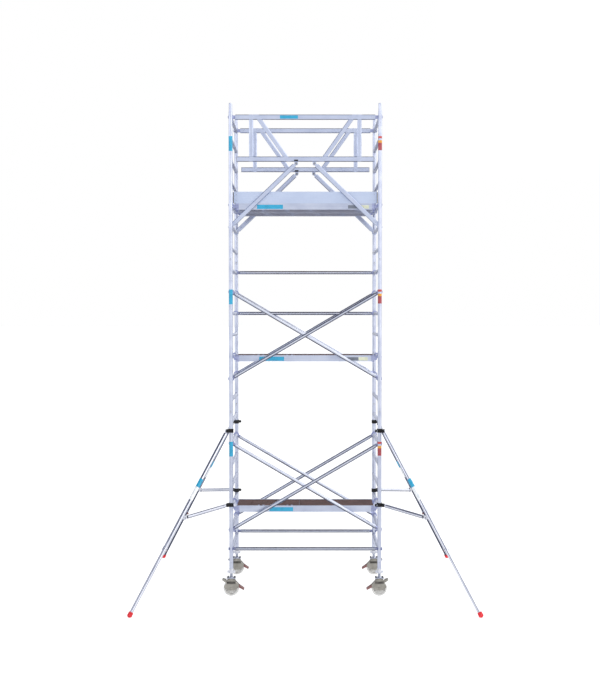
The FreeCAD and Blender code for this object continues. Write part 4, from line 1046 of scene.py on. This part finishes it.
for corner, (sx, sy) in tower["corners"].items():
    at = moved(sx * postX * mm, sy * postY * mm) @ turned(math.degrees(math.atan2(sy, sx)), "Z")
    arm, inner = f"{corner}_stabiliser", f"{corner}_inner_leg"
    makePiece(f"{arm}_couplers", couplers, [blackCoat, zincPlate], arm, at,
              [f"{arm}_clamps"], 1.0)
    makePiece(f"{arm}_fittings", legFittings, [zincPlate, pedalVinyl], arm, at)
    makePiece(f"{arm}_film_bands", legBands, [filmCyan, filmWhite], arm, at)
    makePiece(f"{inner}_fittings", innerLegFittings, [greyPolyamide, blackPolyamide], inner,
              at)
    makePiece(f"{corner}_rubber_foot", foot, [footRubber], inner, at,
              [f"{arm}_foot"], 0.0)
print("stabilisers made")


# ---- plain film bands on posts, beams and the top rail

# each post band is a finish with its distance below the frame's top and its length
films = {"thick": 0.4, "left": [(0, 315, 190)],
         "right": [(1, 315, 28), (2, 368, 31), (3, 399, 96)]}


def postFilms(bm):
    for top in frameTops:
        for side, x in (("left", -postX), ("right", postX)):
            for finish, drop, long in films[side]:
                wrap(bm, tower["postRadius"] + 0.05, films["thick"], top - drop - long, top - drop,
                     175, 365, moved(x, -postY), finish)


def beamFilms(bm):
    for z, y, start, end in ((rungZ(16), -585, -622, -287), (rungZ(9), -530, -598, -275),
                             (rungZ(2), -530, -469, -159)):
        bar(bm, (start, y - films["thick"], z - 52), (end, y, z + 2), finish=0)
    for z, y, start in ((rungZ(16), -585, 550), (rungZ(9), -530, 540)):
        bar(bm, (start, y - films["thick"], z - 48), (start + 150, y, z - 4), finish=2)
        bar(bm, (start + 151, y - films["thick"], z - 48), (start + 270, y, z - 4), finish=1)
    y = -rail["y"] - rail["depth"] / 2
    bar(bm, (-325, y - films["thick"], topRailZ - 21), (-94, y, topRailZ + 21), finish=0)


makePiece("post_film_bands", postFilms, [filmCyan, filmRed, filmAmber, filmMaroon], "root")
makePiece("beam_film_bands", beamFilms, [filmCyan, filmCream, filmSlate], "root")
print("film bands made")


# ---- floor, light and camera

studio = {"floorHalf": 250, "floorLight": "#c4c5c7", "floorDark": "#bfc0c2", "floorLift": 0.76,
          "skyLow": "#ffffff", "skyMiddle": "#8f96aa", "skyHigh": "#2f3444", "ground": "#454b5e",
          "skyStrength": 1.0, "softboxGain": 1.5}


def makeFloor():
    bm = bmesh.new()
    half = studio["floorHalf"]
    bm.faces.new([bm.verts.new((half * x, half * y, 0)) for x, y in ((-1, -1), (1, -1), (1, 1), (-1, 1))])
    mesh = bpy.data.meshes.new("studio_floor")
    bm.to_mesh(mesh)
    bm.free()
    material, tree, shader, spot = startFinish("paleFloor", {
        "Roughness": 0.9, "Emission Color": (1, 1, 1, 1), "Emission Strength": studio["floorLift"]})
    cloud = blotches(tree, spot, 900)
    tree.links.new(ramp(tree, cloud, [(0.3, studio["floorDark"]), (0.7, studio["floorLight"])]),
                   shader.inputs["Base Color"])
    mesh.materials.append(material)
    floor = bpy.data.objects.new("studio_floor", mesh)
    bpy.context.collection.objects.link(floor)
    floor.visible_glossy = False  # the metal mirrors the sky's darker ground, which draws its edges


def fade(tree, value, start, end):
    return addNode(tree, "MapRange", {"From Min": start, "From Max": end}, {"Value": value}).outputs[0]


def makeSky():
    world = bpy.data.worlds.new("studioSky")
    world.use_nodes = True
    tree = world.node_tree
    tree.nodes.clear()
    axes = addNode(tree, "SeparateXYZ", None, {0: addNode(tree, "TexCoord").outputs["Generated"]})
    x, y, z = axes.outputs
    # white round the horizon and dark overhead, so that each tube shows a dark line along its top
    arch = ramp(tree, z, [(0.3, studio["skyLow"]), (0.5, studio["skyMiddle"]), (0.78, studio["skyHigh"])])
    # a tall softbox to the right lights the braces that fall that way
    softbox = joined(tree, "MULTIPLY", fade(tree, x, 0.1, 0.35), fade(tree, z, 0.1, 0.3))
    lit = addNode(tree, "Mix", {"data_type": "RGBA", 7: [studio["softboxGain"]] * 4},
                  {0: softbox, 6: arch}).outputs[2]
    # dark ground, and a dark strip behind, just under the horizon, for the platforms' undersides
    strip = joined(tree, "MULTIPLY", fade(tree, z, -0.03, -0.06), fade(tree, z, -0.3, -0.18))
    behind = joined(tree, "MULTIPLY", fade(tree, y, 0.5, 0.8), strip)
    below = joined(tree, "MAXIMUM", fade(tree, z, -0.5, -0.78), behind)
    tone = addNode(tree, "Mix", {"data_type": "RGBA", 7: colour(studio["ground"])},
                   {0: below, 6: lit}).outputs[2]
    sky = addNode(tree, "Background", {"Strength": studio["skyStrength"]}, {"Color": tone})
    addNode(tree, "OutputWorld", None, {"Surface": sky.outputs[0]})
    bpy.context.scene.world = world


def makeLight(name, place, aim, wide, watts, tint, mirrored=True):
    data = bpy.data.lights.new(name, "AREA")
    data.shape = "RECTANGLE"
    data.size, data.size_y = wide
    data.energy = watts
    data.color = colour(tint)[:3]
    lamp = bpy.data.objects.new(name, data)
    lamp.visible_glossy = mirrored
    bpy.context.collection.objects.link(lamp)
    lamp.location = place
    lamp.rotation_euler = (Vector(aim) - Vector(place)).to_track_quat("-Z", "Y").to_euler()


camera = {"distance": 16.68, "height": 3.70, "lean": 1.803, "lens": 64.26, "shiftX": -0.0076}


def makeCamera():
    data = bpy.data.cameras.new("studio_camera")
    data.lens = camera["lens"]
    data.sensor_width = 36
    data.shift_x = camera["shiftX"]
    data.clip_end = 400
    view = bpy.data.objects.new("studio_camera", data)
    bpy.context.collection.objects.link(view)
    view.location = (0, -camera["distance"], camera["height"])
    view.rotation_euler = (math.radians(90 - camera["lean"]), 0, 0)
    bpy.context.scene.camera = view


makeFloor()
makeSky()
makeLight("softboxAbove", (0, -2, 14), (0, 0, 3), (9, 9), 300, "#ffffff", mirrored=False)
makeLight("softboxLeft", (-9, -9, 8), (0, 0, 3), (5, 8), 180, "#f7f9ff")
makeLight("softboxRight", (10, -7, 7), (0, 0, 3), (5, 8), 160, "#fffaf2")
makeCamera()
bpy.context.scene.view_settings.view_transform = "Standard"
print("studio made")
